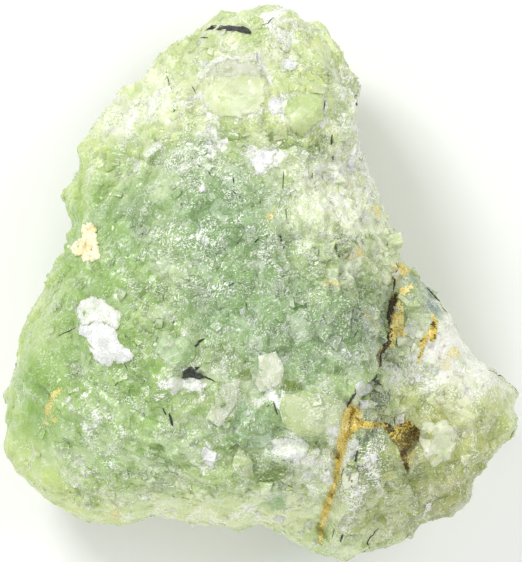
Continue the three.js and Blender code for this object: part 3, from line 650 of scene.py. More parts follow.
# Crystals that stand out: kind, colour, height above the stone, and the outline
PLATES = [
    ("mottled", FROST, 0.26, [
        (-19.4, -1.8), (-20.3, -2.7), (-20.4, -4.2), (-20.1, -4.9), (-18.6, -4.6), (-17.2, -4.9),
        (-16.3, -5.5), (-15.7, -4.7), (-15.5, -3.7), (-16.4, -3.2), (-17.3, -2.6), (-18.2, -2.1),
        (-18.8, -1.8)]),
    ("flake", FROST, 0.32, [
        (-20.1, -4.9), (-20.4, -5.3), (-19.9, -6.2), (-19.5, -6.4), (-19.1, -7.8), (-18.1, -9.1),
        (-17.4, -9.5), (-16.7, -9.5), (-16.5, -8.9), (-15.4, -9.3), (-14.4, -8.8), (-14.2, -8.3),
        (-14.8, -7.6), (-15.8, -6.9), (-16, -6), (-16.3, -5.5), (-17.2, -4.9), (-18.6, -4.6)]),
    ("block", BLOCK, 0.35, [
        (-0.4, -8.4), (1.5, -7.9), (2.5, -9.8), (2.2, -11.4), (-0.1, -12.4), (-0.7, -11.6)]),
    ("block", BLOCK, 0.35, [
        (-4.4, -11.6), (-2.4, -11.2), (-2.8, -13.5), (-3.8, -15.1), (-4.8, -16.3), (-6.2, -15.3),
        (-5.6, -13.8)]),
    ("block", BEIGE, 0.3, [
        (2.1, -12.8), (4.7, -12.2), (7.5, -12.7), (9, -13.5), (8.6, -15.8), (6.2, -17.3), (3.7, -17.3),
        (2.3, -15.8), (1.9, -14)]),
    ("flush", OLIVE, 0.08, [(2.5, -10.9), (4.5, -11.2), (4.5, -12.2), (2.1, -12.2)]),
    ("flush", OLIVE, 0.1, [
        (1.3, -20), (2.5, -20.7), (3.5, -22.2), (2.7, -23.6), (0.3, -23.2), (-0.3, -22.6), (0.3, -21.3)]),
    ("flush", OLIVE, 0.08, [(-2.4, -9.8), (-1.2, -10), (-1.1, -11.1), (-2, -11.3), (-2.6, -10.6)]),
    ("flush", TEAL, 0.06, [
        (-2.4, -13.3), (-0.5, -14.5), (1.3, -14.5), (1.3, -18.3), (-0.5, -18.7), (-2.9, -18.1),
        (-3.3, -15.8)]),
    ("block", BEIGE, 0.2, [
        (-2.9, -18.5), (-2.1, -18.5), (-1, -20.2), (-0.9, -21.9), (-2.4, -21.7), (-3.3, -20.6)]),
    ("flake", FROST, 0.24, [(-6.6, -18.8), (-6.2, -18.5), (-5.4, -19.9), (-5.4, -20.9), (-5.9, -20.6)]),
    ("mottled", FROST, 0.26, [
        (1.1, -17.9), (3.3, -17.6), (5.3, -18.3), (4.8, -19.7), (2.5, -20), (0.9, -19.1)]),
    ("flush", MILKY, 0.2, [
        (-12.1, -6.9), (-10.6, -6), (-8.6, -6.2), (-7.3, -7.6), (-7.9, -9.1), (-9.9, -9.6), (-11.4, -8.6)]),
    ("mottled", FROST, 0.26, [
        (-10.3, -10.7), (-8.8, -10.9), (-6.9, -11.1), (-6.8, -12.7), (-8.6, -12), (-9.9, -12.9),
        (-10.6, -11.8)]),
    ("dome", LENS_GREEN, 0.3, [
        (-6.5, 22.1), (-5.5, 24), (-3.7, 24.6), (-1.5, 24.6), (0, 23.8), (0.7, 22.1), (0.4, 19.9),
        (-0.4, 18.6), (-2.4, 17.9), (-4.4, 18), (-6.1, 19), (-6.8, 20.5)]),
    ("dome", PEARL, 0.34, [
        (-6.2, 22.4), (-5.4, 23.9), (-3.7, 24.5), (-1.5, 24.5), (0, 23.7), (0.5, 22.3), (-1.5, 22.8),
        (-3.6, 22.4)]),
    ("dome", PALE, 0.32, [
        (2.9, 19.9), (4.2, 20.8), (6.2, 20.7), (7, 19.9), (6.9, 17.9), (5.5, 16.8), (4.2, 15.6),
        (3.1, 16.8), (2.5, 18.6)]),
    ("flake", FROST, 0.24, [(2.1, 24), (3.1, 24.6), (4.1, 24.1), (3.1, 23.2)]),
    ("flake", FROST, 0.24, [(0.7, 19), (1.4, 20.4), (2.1, 19.9), (2, 18.8), (1.1, 18.3)]),
    ("flake", FROST, 0.24, [
        (-1.4, 13.3), (-0.4, 14.5), (1.1, 14.8), (1.8, 14.2), (0.7, 12.7), (-0.7, 11.6)]),
    ("block", ASH, 0.5, [
        (10.3, -11.7), (11.1, -11.1), (12.2, -11.7), (12.3, -12.5), (11.4, -12.8), (10.8, -12.8)]),
    ("block", ASH, 0.5, [(10.8, -13.3), (11.7, -13.3), (12.3, -13.9), (11.4, -14.3), (10.9, -14)]),
    ("flush", MILKY, 0.1, [
        (0.3, -22.9), (1.4, -22.7), (2.9, -23.8), (2.6, -25.4), (1.1, -25.6), (0.4, -24.4)]),
    ("flush", BLOCK, 0.15, [(1, -26.6), (1.7, -26), (2.6, -26.3), (2.5, -27), (1.4, -27)]),
    ("flush", BLOCK, 0.15, [(4.6, -27.2), (5.1, -26.5), (5.7, -27), (5.5, -27.8), (4.8, -27.8)]),
    ("block", CREAM, 0.2, [(8.9, -21.7), (9.9, -20.8), (10.8, -21.4), (10.3, -23), (9.2, -23.2)]),
    ("mottled", PALE, 0.18, [
        (4.2, -20), (7.5, -18.8), (8, -20.8), (7, -24.1), (5.5, -24.6), (4.2, -22.4)]),
    ("block", CREAM, 0.2, [(14.3, 0.6), (15, 1.4), (15.4, 0.6), (15, -0.1)]),
    ("flush", CREAM, 0.25, [
        (17.9, -15.8), (20.5, -15.5), (22, -17.5), (20.9, -19.9), (18.9, -20.8), (17.8, -18.6)]),
]

# Kinds of plates: frost at rim and inside, masks, drape over the stone, slope, ragged edge, drop of the rim
PLATE_TRAITS = ("rim", "inner", "grain", "sugar", "drape", "slope", "rounds", "share", "bevel")
PLATE_KINDS = {kind: dict(zip(PLATE_TRAITS, traits)) for kind, traits in dict(
    block=(0.8, 0.1, 0.6, 0.4, 0.5, 0.12, 1, 0.09, 0.6),
    flake=(0.75, 1.15, 0.3, 0.3, 1.0, 0.03, 3, 0.22, 0.6),
    mottled=(0.35, 0.62, 0.8, 0.8, 1.0, 0.05, 3, 0.22, 0.8),
    flush=(0.35, 0.0, 0.7, 0.3, 0.9, 0.05, 2, 0.14, 0.9),
    dome=(0.65, 0.1, 0.45, 0.2, 1.0, 0.02, 2, 0.1, 1.0),
    blade=(0.0, 0.0, 0.0, 0.0, 0.8, 0.02, 2, 0.1, 0.3)).items()}
FINE_STEP, FINE_JITTER = 0.35, 0.12      # spacing and scatter of the points on a plate
PLATE_SINK, PLATE_FACETS, FACET_LEAN = 0.7, 3, (0.3, 1.0)
BLADE_LIFT = 0.2

# Needles: length of a step, number of sides, how blunt the tips are, and how they thicken, sink and wander
NEEDLE_STEP, NEEDLE_SIDES, NEEDLE_TIP, NEEDLE_TAPER = 0.22, 5, 0.06, 0.6
NEEDLE_SWELL, NEEDLE_SINK, NEEDLE_WANDER, NEEDLE_FLATNESS = (0.75, 1.2), 0.25, 0.2, 0.8

# Small blocky crystals over the whole stone
SHARDS, SHARD_SIZE, SHARD_SPREAD = 4000, 0.44, 0.58
SHARD_LIMIT, SHARD_RIM = (0.8, 1.9), 0.55        # longest at the rim and on top, and the rim's share
SHARD_BASE, SHARD_LEAST, SHARD_RIM_WEIGHT = 1.5, 0.05, 0.2
SHARD_SIDE, SHARD_FACING = (16, 21), (0.35, 0.8)
SHARD_LEAN, SHARD_SKEW, SHARD_OUT = 0.22, 0.45, (-0.95, -0.5)
SHARD_WIDTH, SHARD_DEPTH, SHARD_THICKEST = (0.5, 1.0), (0.5, 0.9), 1.1
SHARD_TONE, WHITE_SHARDS, SHARD_FROST, BRIGHTEST = (0.82, 1.14), 0.2, (0.2, 0.6), 0.95

# Thin ragged white flakes
CHIPS, CHIP_CORNERS, CHIP_SIZE, CHIP_SPREAD = 170, 9, 0.3, 0.45
CHIP_LENGTH, CHIP_WIDTH, CHIP_RAGGED, CHIP_THICKNESS = 1.5, 0.8, (0.55, 1.25), (0.03, 0.09)
CHIP_LEAN, CHIP_TURN, CHIP_CROWN, CHIP_SINK, CHIP_FROST = 0.1, 0.45, 1.3, 0.35, (0.3, 0.85)
CHIP_RUN, CHIP_JITTER = np.array([0.7, 0.7, 0.0]), 0.4
CHIP_BASE, CHIP_LEAST, CHIP_GATHERING = 2, 0.02, 1.2

# Grains: usual radius in the veins and its share in each kind of place, their lumps, and how light they are
GRANULE, GRAIN_LUMPS, GRAIN_RISE, GRAIN_EDGE_LIMIT = 0.13, (0.7, 1.25), 0.3, 1.1
VEIN_LIGHT, CRUST_LIGHT, DRIFT_LIGHT, LIGHT_SCATTER, BROWNING = 0.22, 0.3, 0.6, 0.14, 0.8
VEIN_FILL, SPOT_FILL, CREAM_SPACING, CREAM_RADIUS = 0.9, 14, 0.15, (0.14, 0.36)
VEIN_GRAINS, CRUST_GRAINS, PATCH_GRAINS, PIT_GRAINS = (0.5, 1.1), (0.6, 1.3), (0.35, 0.75), (0.5, 1.1)
PATCH_LIGHT, CREAM_DRIFT, CREAM_SCATTER = (0.3, 1.0), 0.9, 0.3
PIT_RING, PIT_TURNS, PIT_SPACING = (1.9, 2.0), np.radians([6, 96, 186, 276]), 1.1
PIT_SUN, PIT_SUNLIT, PIT_DRIFT, PIT_SCATTER = (-0.6, 1.2), 0.32, 0.15, 0.08

# How high the colours of the crystal side begin, and the olive painted shade that darkens the stone near its
# base
COLOUR_SIDE, LOW_SIDE, BASE_PAINTED_SHADE = (11, 16), (-7, -1), 0.45

# Edges and strengths of the veins, the pit, and the smooth and sugary places
VEIN_MARGIN, VEIN_EDGE, VEIN_FROST = 0.25, 0.3, 0.7
PIT_BROWN, PIT_EDGE = 0.9, 0.3
SMOOTHING, HIDDEN_SUGAR, LEAST_SUGAR = 0.7, 0.45, 0.35

# Hidden sides: blotches of colour, frost and ochre, each colour with its number, and the needles there
BLOTCH_STRETCH, BLOTCH_CORE = (0.6, 1.7), 0.35
HIDDEN_TINT = dict(sizes=(4, 11), strengths=(0.5, 0.95))
HIDDEN_FROST = dict(count=60, sizes=(1.2, 4.5), strengths=(0.35, 0.85))
HIDDEN_OCHRE = dict(count=22, sizes=(0.7, 2.6), strengths=(0.45, 0.75))
HIDDEN_TINTS = [(MINT, 16), (YELLOW, 9), (TEAL, 9), (CREAM, 7), (LEAF, 7)]
HIDDEN_NEEDLES, HIDDEN_NEEDLE_HEIGHTS = 46, (2, 11)
HIDDEN_NEEDLE_LENGTHS, HIDDEN_NEEDLE_WIDTHS = (0.5, 2.6), (0.1, 0.26)


def blotches(points, draw, count, sizes, strengths):
    """Stretched round patches scattered over the whole stone, the strongest at each point."""
    best = np.zeros(len(points))
    for _ in range(count):
        middle = points[draw.integers(len(points))]
        gap = np.linalg.norm((points - middle) * draw.uniform(*BLOTCH_STRETCH, 3), axis=1)
        size = draw.uniform(*sizes)
        best = np.maximum(best, draw.uniform(*strengths) * ramp(-gap, -size, -BLOTCH_CORE * size))
    return best


def tinted(tint, share, colour):
    """The tints with a share of a colour laid over them."""
    return tint * (1 - share[:, None]) + np.array(colour) * share[:, None]


def wavy(x, y):
    """Places moved a little to and fro, which makes the edges of the patches uneven."""
    return (
        x + 0.7 * np.sin(1.1 * y + 1.9 * np.sin(0.9 * x)) + 0.3 * np.sin(3.1 * y + 2.3 * x),
        y + 0.7 * np.sin(1.3 * x + 1.7 * np.sin(0.8 * y) + 2) + 0.3 * np.sin(2.7 * x - 2.9 * y))


def stone_masks(points):
    """Colour and mask values of each point, from where the camera sees it on the crystal side."""
    x, y = seen_from_above(points)
    front = ramp(points[:, 2], *COLOUR_SIDE)
    hidden = 1 - front
    wavy_x, wavy_y = wavy(x, y)

    def spread(places, edge=MASK_EDGE):
        return front * patches(wavy_x, wavy_y, places, edge)

    draw = np.random.default_rng(SEEDS["masks"])
    tint = np.tile(np.array(PALE), (len(points), 1))
    for colour, count in HIDDEN_TINTS:
        tint = tinted(tint, blotches(points, draw, count, **HIDDEN_TINT), colour)
    # Painted shade: olive laid over the tint, more of it towards the base
    tint = tinted(tint, BASE_PAINTED_SHADE * ramp(-points[:, 2], *LOW_SIDE), OLIVE)
    tint = tinted(tint, front, PALE)
    for colour, places in TINTS:
        tint = tinted(tint, spread(places, ROUND_EDGE), colour)
    frost = spread(FROST_PATCHES)
    for vein in FROST_VEINS:
        frost = np.maximum(frost, VEIN_FROST * front * vein_share(x, y, vein))
    frost = np.maximum(frost, hidden * blotches(points, draw, **HIDDEN_FROST))
    ochre = spread(OCHRE_PATCHES)
    brown = PIT_BROWN * front * ramp(pit_share(points[:, 0], points[:, 1]), 0, PIT_EDGE)
    for brownness, vein in VEINS:
        share = front * vein_share(x, y, vein)
        ochre = np.maximum(ochre, share)
        brown = np.maximum(brown, brownness * share)
    ochre = np.maximum(ochre, brown)
    ochre = np.maximum(ochre, hidden * blotches(points, draw, **HIDDEN_OCHRE))
    grain = 1 - SMOOTHING * patches(x, y, SMOOTH_PATCHES) * front
    sugar = HIDDEN_SUGAR * hidden + LEAST_SUGAR * front
    sugar += (1 - LEAST_SUGAR) * spread(SUGAR_PATCHES, ROUND_EDGE)
    return dict(
        tint=tint, frost=frost, ochre=ochre, brown=brown, dark=spread(DARK_PATCHES), grain=grain, sugar=sugar)


def vein_share(x, y, vein):
    """1 on a vein of changing width, 0 beside it."""
    share = np.zeros_like(x)
    for start, end in zip(vein[:-1], vein[1:]):
        part, gap_x, gap_y = along_segment(x, y, start, end)
        half = 0.5 * (start[2] + part * (end[2] - start[2]))
        share = np.maximum(share, ramp(half + VEIN_MARGIN - np.hypot(gap_x, gap_y), 0, VEIN_EDGE))
    return share


def store_masks(mesh, masks):
    """Keeps each mask on the mesh for the material, the tint as a colour."""
    for name, values in masks.items():
        kind = "FLOAT_COLOR" if values.ndim == 2 else "FLOAT"
        attribute = mesh.attributes.new(name, kind, "POINT")
        if values.ndim == 2:
            rows = np.concatenate([values, np.ones((len(values), 1))], axis=1)
            attribute.data.foreach_set("color", rows.ravel())
        else:
            attribute.data.foreach_set("value", values)


class Shader:
    """A material's node tree, with short calls for the nodes used here."""

    def __init__(self, name):
        self.material = bpy.data.materials.new(name)
        self.material.use_nodes = True
        self.tree = self.material.node_tree
        self.bsdf = self.tree.nodes["Principled BSDF"]
        self.place = self.add("ShaderNodeTexCoord").outputs["Object"]
        self.colour = None

    def add(self, kind, inputs=None, **settings):
        """A new node with its settings, and what its inputs are given by name or number."""
        node = self.tree.nodes.new(kind)
        for key, value in settings.items():
            setattr(node, key, value)
        for key, value in (inputs or {}).items():
            self.feed(node.inputs[key], value)
        return node

    def feed(self, socket, value):
        if isinstance(value, bpy.types.NodeSocket):
            self.tree.links.new(value, socket)
        elif isinstance(value, tuple) and len(value) == 3 and socket.type == "RGBA":
            socket.default_value = (*value, 1)
        else:
            socket.default_value = value

    def surface(self, **inputs):
        """Feed the surface's own inputs, named with a low line for each space."""
        for key, value in inputs.items():
            self.feed(self.bsdf.inputs[key.replace("_", " ")], value)

    def math(self, operation, *values):
        return self.add("ShaderNodeMath", dict(enumerate(values)), operation=operation).outputs[0]

    def times(self, a, b):
        return self.math("MULTIPLY", a, b)

    def weighted(self, start, *terms):
        """The start plus each value times its weight."""
        total = start
        for value, weight in terms:
            total = self.math("MULTIPLY_ADD", value, weight, total)
        return total

    def vector(self, operation, *values):
        node = self.add("ShaderNodeVectorMath", dict(enumerate(values)), operation=operation)
        return node.outputs["Value" if operation == "DOT_PRODUCT" else "Vector"]

    def scaled(self, vector, scale):
        node = self.add("ShaderNodeVectorMath", {0: vector, "Scale": scale}, operation="SCALE")
        return node.outputs["Vector"]

    def noise(self, size, detail=3.0, roughness=0.55, place=None, output="Fac"):
        inputs = dict(Vector=place or self.place, Scale=1 / (size * MM), Detail=detail, Roughness=roughness)
        return self.add("ShaderNodeTexNoise", inputs).outputs[output]

    def cells(self, size, place, feature="F1"):
        return self.add("ShaderNodeTexVoronoi", {"Vector": place, "Scale": 1 / (size * MM)}, feature=feature)

    def channels(self, colour):
        return self.add("ShaderNodeSeparateColor", {0: colour}).outputs

    def mask(self, name, output="Fac"):
        return self.add("ShaderNodeAttribute", attribute_name=name).outputs[output]

    def between(self, value, low, high):
        inputs = {"Value": value, "From Min": low, "From Max": high}
        return self.add("ShaderNodeMapRange", inputs, interpolation_type="SMOOTHSTEP").outputs["Result"]

    def mix(self, share, a, b, blend="MIX"):
        inputs = {"Factor": share, 6: a, 7: b}
        return self.add("ShaderNodeMix", inputs, data_type="RGBA", blend_type=blend).outputs[2]

    def lay(self, value, low, high, area, strongest, shade):
        """Lay a shade over the colour so far where a value is between low and high."""
        share = self.times(self.times(self.between(value, low, high), area), strongest)
        self.colour = self.mix(share, self.colour, shade)

    def bump(self, height, strength, distance):
        node = self.add("ShaderNodeBump", dict(Strength=strength, Distance=distance, Height=height))
        self.surface(Normal=node.outputs["Normal"])


def tilted_cells(shader, place, cells, size):
    """Height of a randomly tilted flat plate over each cell."""
    offset = shader.vector("SUBTRACT", place, cells.outputs["Position"])
    lean = shader.vector("SUBTRACT", cells.outputs["Color"], MID_GREY)
    return shader.times(shader.vector("DOT_PRODUCT", offset, lean), 1 / (size * MM))


def fibre(shader, crystals, across, stretch):
    """Fine noise drawn out into short fibres, in another direction in each crystal."""
    toward = shader.vector("SUBTRACT", crystals.outputs["Color"], FIBRE_MIDDLE)
    along = shader.vector("NORMALIZE", toward)
    slide = shader.times(shader.vector("DOT_PRODUCT", shader.place, along), stretch)
    drawn_out = shader.vector("SUBTRACT", shader.place, shader.scaled(along, slide))
    return shader.noise(across, 0.0, 0.5, drawn_out)


def stone_values(shader):
    """What the stone's layers are made from: its crystals, noises, masks and the shades of its tint."""
    wobble = shader.vector("SUBTRACT", shader.noise(*WARP_NOISE, output="Color"), MID_GREY)
    warped = shader.vector("ADD", shader.place, shader.scaled(wobble, WARP * MM))
    raw = SimpleNamespace(warped=warped, tint=shader.mask("tint", "Color"))
    for name in ("frost", "ochre", "brown", "dark", "grain", "sugar"):
        setattr(raw, name, shader.mask(name))
    for name, noise in STONE_NOISES.items():
        setattr(raw, name, shader.noise(*noise))
    raw.blocks, raw.crumbs = (shader.cells(size, warped) for size in (BLOCK_CELL, CRUMB_CELL))
    raw.block_chance = shader.channels(raw.blocks.outputs["Color"])
    raw.crumb_chance = shader.channels(raw.crumbs.outputs["Color"])
    raw.seams = shader.cells(BLOCK_CELL, warped, "DISTANCE_TO_EDGE").outputs["Distance"]
    raw.fine = fibre(shader, raw.blocks, *FIBRE)
    raw.deep = shader.mix(1.0, raw.tint, DEEP, "MULTIPLY")
    raw.deeper = shader.mix(1.0, raw.deep, DEEPER, "MULTIPLY")
    raw.milky = shader.mix(MILKINESS, raw.tint, FROST)
    raw.stain = shader.weighted(raw.ochre, (raw.patchy, 0.9), (raw.grit, 0.5))
    clump = shader.noise(*CLUMP_NOISE, warped)
    raw.sugary = shader.times(shader.between(shader.weighted(clump, (raw.frost, 0.2)), 0.50, 0.60), raw.sugar)
    raw.speckled = shader.times(shader.weighted(0.35, (raw.sugary, 0.65)), raw.grain)
    return raw


def crystal_layers(shader, raw):
    """Layers of the fresh crystal. Each row is a value, where the layer begins and where it is full, the
    places where it may lie, its greatest share, and its colour."""
    seam_places = shader.between(raw.cloud, 0.50, 0.60)
    haze = shader.weighted(raw.frost, (raw.patchy, 0.8))
    snow = shader.weighted(raw.frost, (raw.patchy, 1.1), (raw.fine, 1.4), (raw.grit, 0.5))
    mottle = shader.weighted(raw.patchy, (raw.fine, 0.6))
    snow_colour = shader.mix(shader.between(mottle, 0.80, 0.68), FROST, ASH)
    return [
        (raw.cloud, 0.56, 0.70, 1.0, 0.5, raw.milky),
        (raw.block_chance[1], 0.34, 0.30, raw.grain, 0.55, raw.deeper),
        (raw.block_chance[0], 0.72, 0.76, raw.grain, 0.5, raw.milky),
        (raw.crumb_chance[2], 0.24, 0.21, raw.grain, 0.25, raw.deeper),
        (raw.crumb_chance[0], 0.80, 0.83, raw.grain, 0.25, raw.milky),
        (raw.patchy, 0.44, 0.36, raw.grain, 0.45, raw.deeper),
        (raw.fine, 0.46, 0.39, raw.sugary, 0.9, raw.deeper),
        (raw.fine, 0.55, 0.61, raw.sugary, 0.95, FROST),
        (raw.fine, 0.69, 0.74, raw.grain, 0.7, FROST),
        (raw.grit, 0.63, 0.70, raw.speckled, 0.85, FROST),
        (raw.grit, 0.36, 0.28, raw.speckled, 0.9, raw.deeper),
        (raw.seams, 0.035, 0.01, seam_places, 0.4, FROST),
        (haze, 0.70, 1.45, 1.0, 0.6, HAZE),
        (snow, 2.02, 2.30, 1.0, 0.95, snow_colour)]


def stain_and_painted_shadow_layers(shader, raw):
    """Grey patches, partly painted shadow beside the crack, and ochre stain, in rows like those of the
    crystal.
    """
    # Grey speckle, which is painted shadow where the dark mask runs beside the crack
    grey_and_painted_shadow = shader.weighted(raw.dark, (raw.patchy, 0.8), (raw.grit, 0.9))
    rust = shader.mix(shader.between(raw.grit, 0.60, 0.44), MUSTARD, OCHRE)
    brown = shader.weighted(raw.brown, (shader.math("SUBTRACT", raw.grit, 0.5), 1.2))
    rust = shader.mix(shader.between(brown, 0.35, 0.6), rust, BROWN)
    return [(grey_and_painted_shadow, 1.52, 1.62, 1.0, 0.85, GREY), (raw.stain, *STAIN_SPAN, 1.0, 0.7, rust)]


def stone_material():
    """Waxy green crystals, each in its own shade, with white breaks, fine fibres and weathered ochre."""
    shader = Shader("prehnite")
    raw = stone_values(shader)
    shader.colour = shader.mix(shader.between(raw.cloud, 0.40, 0.56), raw.deep, raw.tint)
    for layer in crystal_layers(shader, raw) + stain_and_painted_shadow_layers(shader, raw):
        shader.lay(*layer)
    stained = shader.between(raw.stain, *STAIN_SPAN)
    rough = shader.weighted(0.22, (raw.crumb_chance[1], 0.22), (stained, 0.4))
    shader.surface(
        Base_Color=shader.colour, Roughness=rough, IOR=1.62,
        Subsurface_Weight=0.35, Subsurface_Radius=(1.0, 1.15, 0.75), Subsurface_Scale=1.6 * MM)
    block_tilt = tilted_cells(shader, raw.warped, raw.blocks, BLOCK_CELL)
    crumb_tilt = tilted_cells(shader, raw.warped, raw.crumbs, CRUMB_CELL)
    fibres, earth = shader.times(raw.fine, raw.sugary), shader.times(raw.grit, stained)
    crystals = shader.weighted(0.0, (block_tilt, 1.1), (crumb_tilt, 0.35), (fibres, 0.4))
    height = shader.weighted(shader.times(crystals, raw.grain), (raw.patchy, 0.15), (earth, 0.5))
    shader.bump(height, 0.7, 0.4 * MM)
    return shader.material


def needle_material():
    """Black fibrous needles with a greenish sheen and paler dust."""
    shader = Shader("dark_needle")
    grit = shader.noise(0.18, 1.0)
    dust = shader.noise(0.45, 3.0, 0.6)
    shader.colour = shader.mix(shader.between(grit, 0.40, 0.75), NEEDLE, NEEDLE_SHEEN)
    shader.lay(dust, 0.60, 0.72, 1.0, 0.5, NEEDLE_DUST)
    shader.surface(Base_Color=shader.colour, Roughness=shader.weighted(0.2, (grit, 0.4)), IOR=1.6)
    shader.bump(grit, 0.6, 0.08 * MM)
    return shader.material


def crust_material(name, light, middle, dark):
    """Earthy grains, each in its own shade."""
    shader = Shader(name)
    grit = shader.noise(0.16, 1.0)
    value = shader.weighted(shader.mask("shade"), (shader.math("SUBTRACT", grit, 0.5), 0.5))
    colour = shader.mix(shader.between(value, -0.02, 0.32), dark, middle)
    colour = shader.mix(shader.between(value, 0.40, 0.70), colour, light)
    shader.surface(Base_Color=colour, Roughness=shader.weighted(0.6, (grit, 0.3)))
    shader.bump(grit, 0.7, 0.06 * MM)
    return shader.material


class Surface:
    """The finished stone, to lay smaller things on."""

    def __init__(self, points, quads):
        self.tree = bvhtree.BVHTree.FromPolygons(points.tolist(), quads.tolist())

    def seen(self, x, y):
        """Point and normal that the camera sees at a place of the belt's level."""
        eye = Vector(EYE)
        ray = (Vector((x, y, BELT_HEIGHT)) - eye).normalized()
        spot, normal, _, _ = self.tree.ray_cast(eye, ray)
        if spot is None:
            spot, normal, _, _ = self.tree.find_nearest(Vector((x, y, BELT_HEIGHT)))
        return np.array(spot), np.array(normal)

    def nearest(self, point):
        spot, normal, _, _ = self.tree.find_nearest(Vector(point))
        return np.array(spot), np.array(normal)


def merged(parts):
    """One list of points and one of faces from several."""
    points, faces, start = [], [], 0
    for part_points, part_faces in parts:
        points.append(np.asarray(part_points, float))
        faces += [[start + corner for corner in face] for face in part_faces]
        start += len(part_points)
    return np.vstack(points), faces


def ragged(outline, draw, share, rounds):
    """The outline with its edges broken up."""
    ring = [np.array(corner, float) for corner in outline]
    for _ in range(rounds):
        longer = []
        for here, there in zip(ring, ring[1:] + ring[:1]):
            across = np.array([here[1] - there[1], there[0] - here[0]])
            longer += [here, (here + there) / 2 + share * draw.uniform(-1, 1) * across]
        ring = longer
    return ring


def inside(ring, x, y):
    """Whether a place is inside a ring of corners."""
    odd = False
    for (ax, ay), (bx, by) in zip(ring, ring[1:] + ring[:1]):
        if (ay > y) != (by > y) and x < ax + (y - ay) * (bx - ax) / (by - ay):
            odd = not odd
    return odd


def inner_spots(ring, draw):
    """Scattered places of a grid that are inside a ring."""
    corners = np.array(ring)
    low, high = corners.min(axis=0), corners.max(axis=0)
    for x in np.arange(low[0], high[0], FINE_STEP):
        for y in np.arange(low[1], high[1], FINE_STEP):
            spot = (x + draw.uniform(-FINE_JITTER, FINE_JITTER), y + draw.uniform(-FINE_JITTER, FINE_JITTER))
            if inside(ring, *spot):
                yield spot


def facet_heights(offset, slope, draw):
    """Heights of a few low facets that lean away from the middle."""
    facet = np.full(len(offset), FAR)
    for _ in range(PLATE_FACETS):
        turn = draw.uniform(0, 2 * math.pi)
        lean = draw.uniform(*FACET_LEAN) * slope
        facet = np.minimum(facet, lean * (offset @ np.array([math.cos(turn), math.sin(turn)])))
    return facet - facet.mean()


def plate(surface, outline, lift, draw, kind):
    """A closed crystal with a broken outline, sunk into the stone, and which of its points are on the rim."""
    ring = ragged(outline, draw, kind["share"], kind["rounds"])
    flat = [Vector(spot) for spot in chain(ring, inner_spots(ring, draw))]
    places, _, faces, _, _, _ = geometry.delaunay_2d_cdt(flat, [], [list(range(len(ring)))], 1, 1e-6)
    ground = np.array([surface.seen(place.x, place.y)[0] for place in places])
    offset = ground[:, :2] - ground[:, :2].mean(axis=0)
    rows = np.column_stack([offset, np.ones(len(ground))])
    slope, _, _, _ = np.linalg.lstsq(rows, ground[:, 2], rcond=None)
    top = kind["drape"] * ground[:, 2] + (1 - kind["drape"]) * (rows @ slope) + lift
    top += facet_heights(offset, kind["slope"], draw)
    edge = boundary(faces)
    on_edge = np.zeros(len(ground), bool)
    on_edge[[pair[0] for pair in edge]] = True
    top[on_edge] -= kind["bevel"] * lift
    upper = np.column_stack([ground[:, :2], top])
    lower = np.column_stack([ground[:, :2], np.minimum(ground[:, 2], top) - PLATE_SINK])
    count = len(upper)
    closed = [list(face) for face in faces]
    closed += [[count + corner for corner in reversed(face)] for face in faces]
    closed += [[a, count + a, count + b, b] for a, b in edge]
    return np.vstack([upper, lower]), closed, np.concatenate([on_edge, on_edge])


def boundary(faces):
    """Directed edges that belong to one face only."""
    pairs = set()
    for face in faces:
        for a, b in zip(face, list(face[1:]) + [face[0]]):
            if (b, a) in pairs:
                pairs.remove((b, a))
            else:
                pairs.add((a, b))
    return sorted(pairs)


def needle(surface, spots, width, draw):
    """A tapered needle that lies along spots of the surface."""
    spots = np.array(spots)
    lengths = np.concatenate([[0], np.cumsum(np.linalg.norm(np.diff(spots, axis=0), axis=1))])
    count = max(4, int(lengths[-1] / NEEDLE_STEP))
    stations = np.linspace(0, lengths[-1], count + 1)
    path = np.column_stack([np.interp(stations, lengths, spots[:, axis]) for axis in range(3)])
    sides, points = NEEDLE_SIDES, []
    for index, spot in enumerate(path):
        run = unit(path[min(index + 1, count)] - path[max(index - 1, 0)])
        ground, normal = surface.nearest(spot)
        across = unit(np.cross(run, normal))
        up = np.cross(across, run)
        taper = math.sin(math.pi * (NEEDLE_TIP + (1 - 2 * NEEDLE_TIP) * index / count)) ** NEEDLE_TAPER
        half = 0.5 * width * taper * draw.uniform(*NEEDLE_SWELL)
        aside = draw.uniform(-NEEDLE_WANDER, NEEDLE_WANDER)
        middle = ground + NEEDLE_SINK * half * up + aside * half * across
        for side in range(sides):
            turn = 2 * math.pi * side / sides
            points.append(middle + half * (math.cos(turn) * across + NEEDLE_FLATNESS * math.sin(turn) * up))
    faces = [list(range(sides)), [count * sides + side for side in reversed(range(sides))]]
    for index in range(count):
        for side in range(sides):
            a, b = index * sides + side, index * sides + (side + 1) % sides
            faces.append([a, a + sides, b + sides, b])
    return points, faces


def grain_ball():
    """Corners and faces of an icosahedron."""
    golden = (1 + math.sqrt(5)) / 2
    corners = []
    for a in (-1, 1):
        for b in (-golden, golden):
            corners += [(0, a, b), (a, b, 0), (b, 0, a)]
    corners = unit(np.array(corners, float))
    faces = []
    for i, j, k in combinations(range(len(corners)), 3):
        gaps = [np.linalg.norm(corners[p] - corners[q]) for p, q in ((i, j), (j, k), (i, k))]
        if max(gaps) < GRAIN_EDGE_LIMIT:
            facing = np.cross(corners[j] - corners[i], corners[k] - corners[i])
            faces.append([i, j, k] if facing @ corners[i] > 0 else [i, k, j])
    return corners, faces


GRAIN_CORNERS, GRAIN_FACES = grain_ball()


def grain_at(spot, normal, radius, draw):
    """One lumpy grain that sits in the surface."""
    lumps = GRAIN_CORNERS * np.array([[draw.uniform(*GRAIN_LUMPS)] for _ in GRAIN_CORNERS])
    return spot + radius * (lumps + GRAIN_RISE * normal), GRAIN_FACES


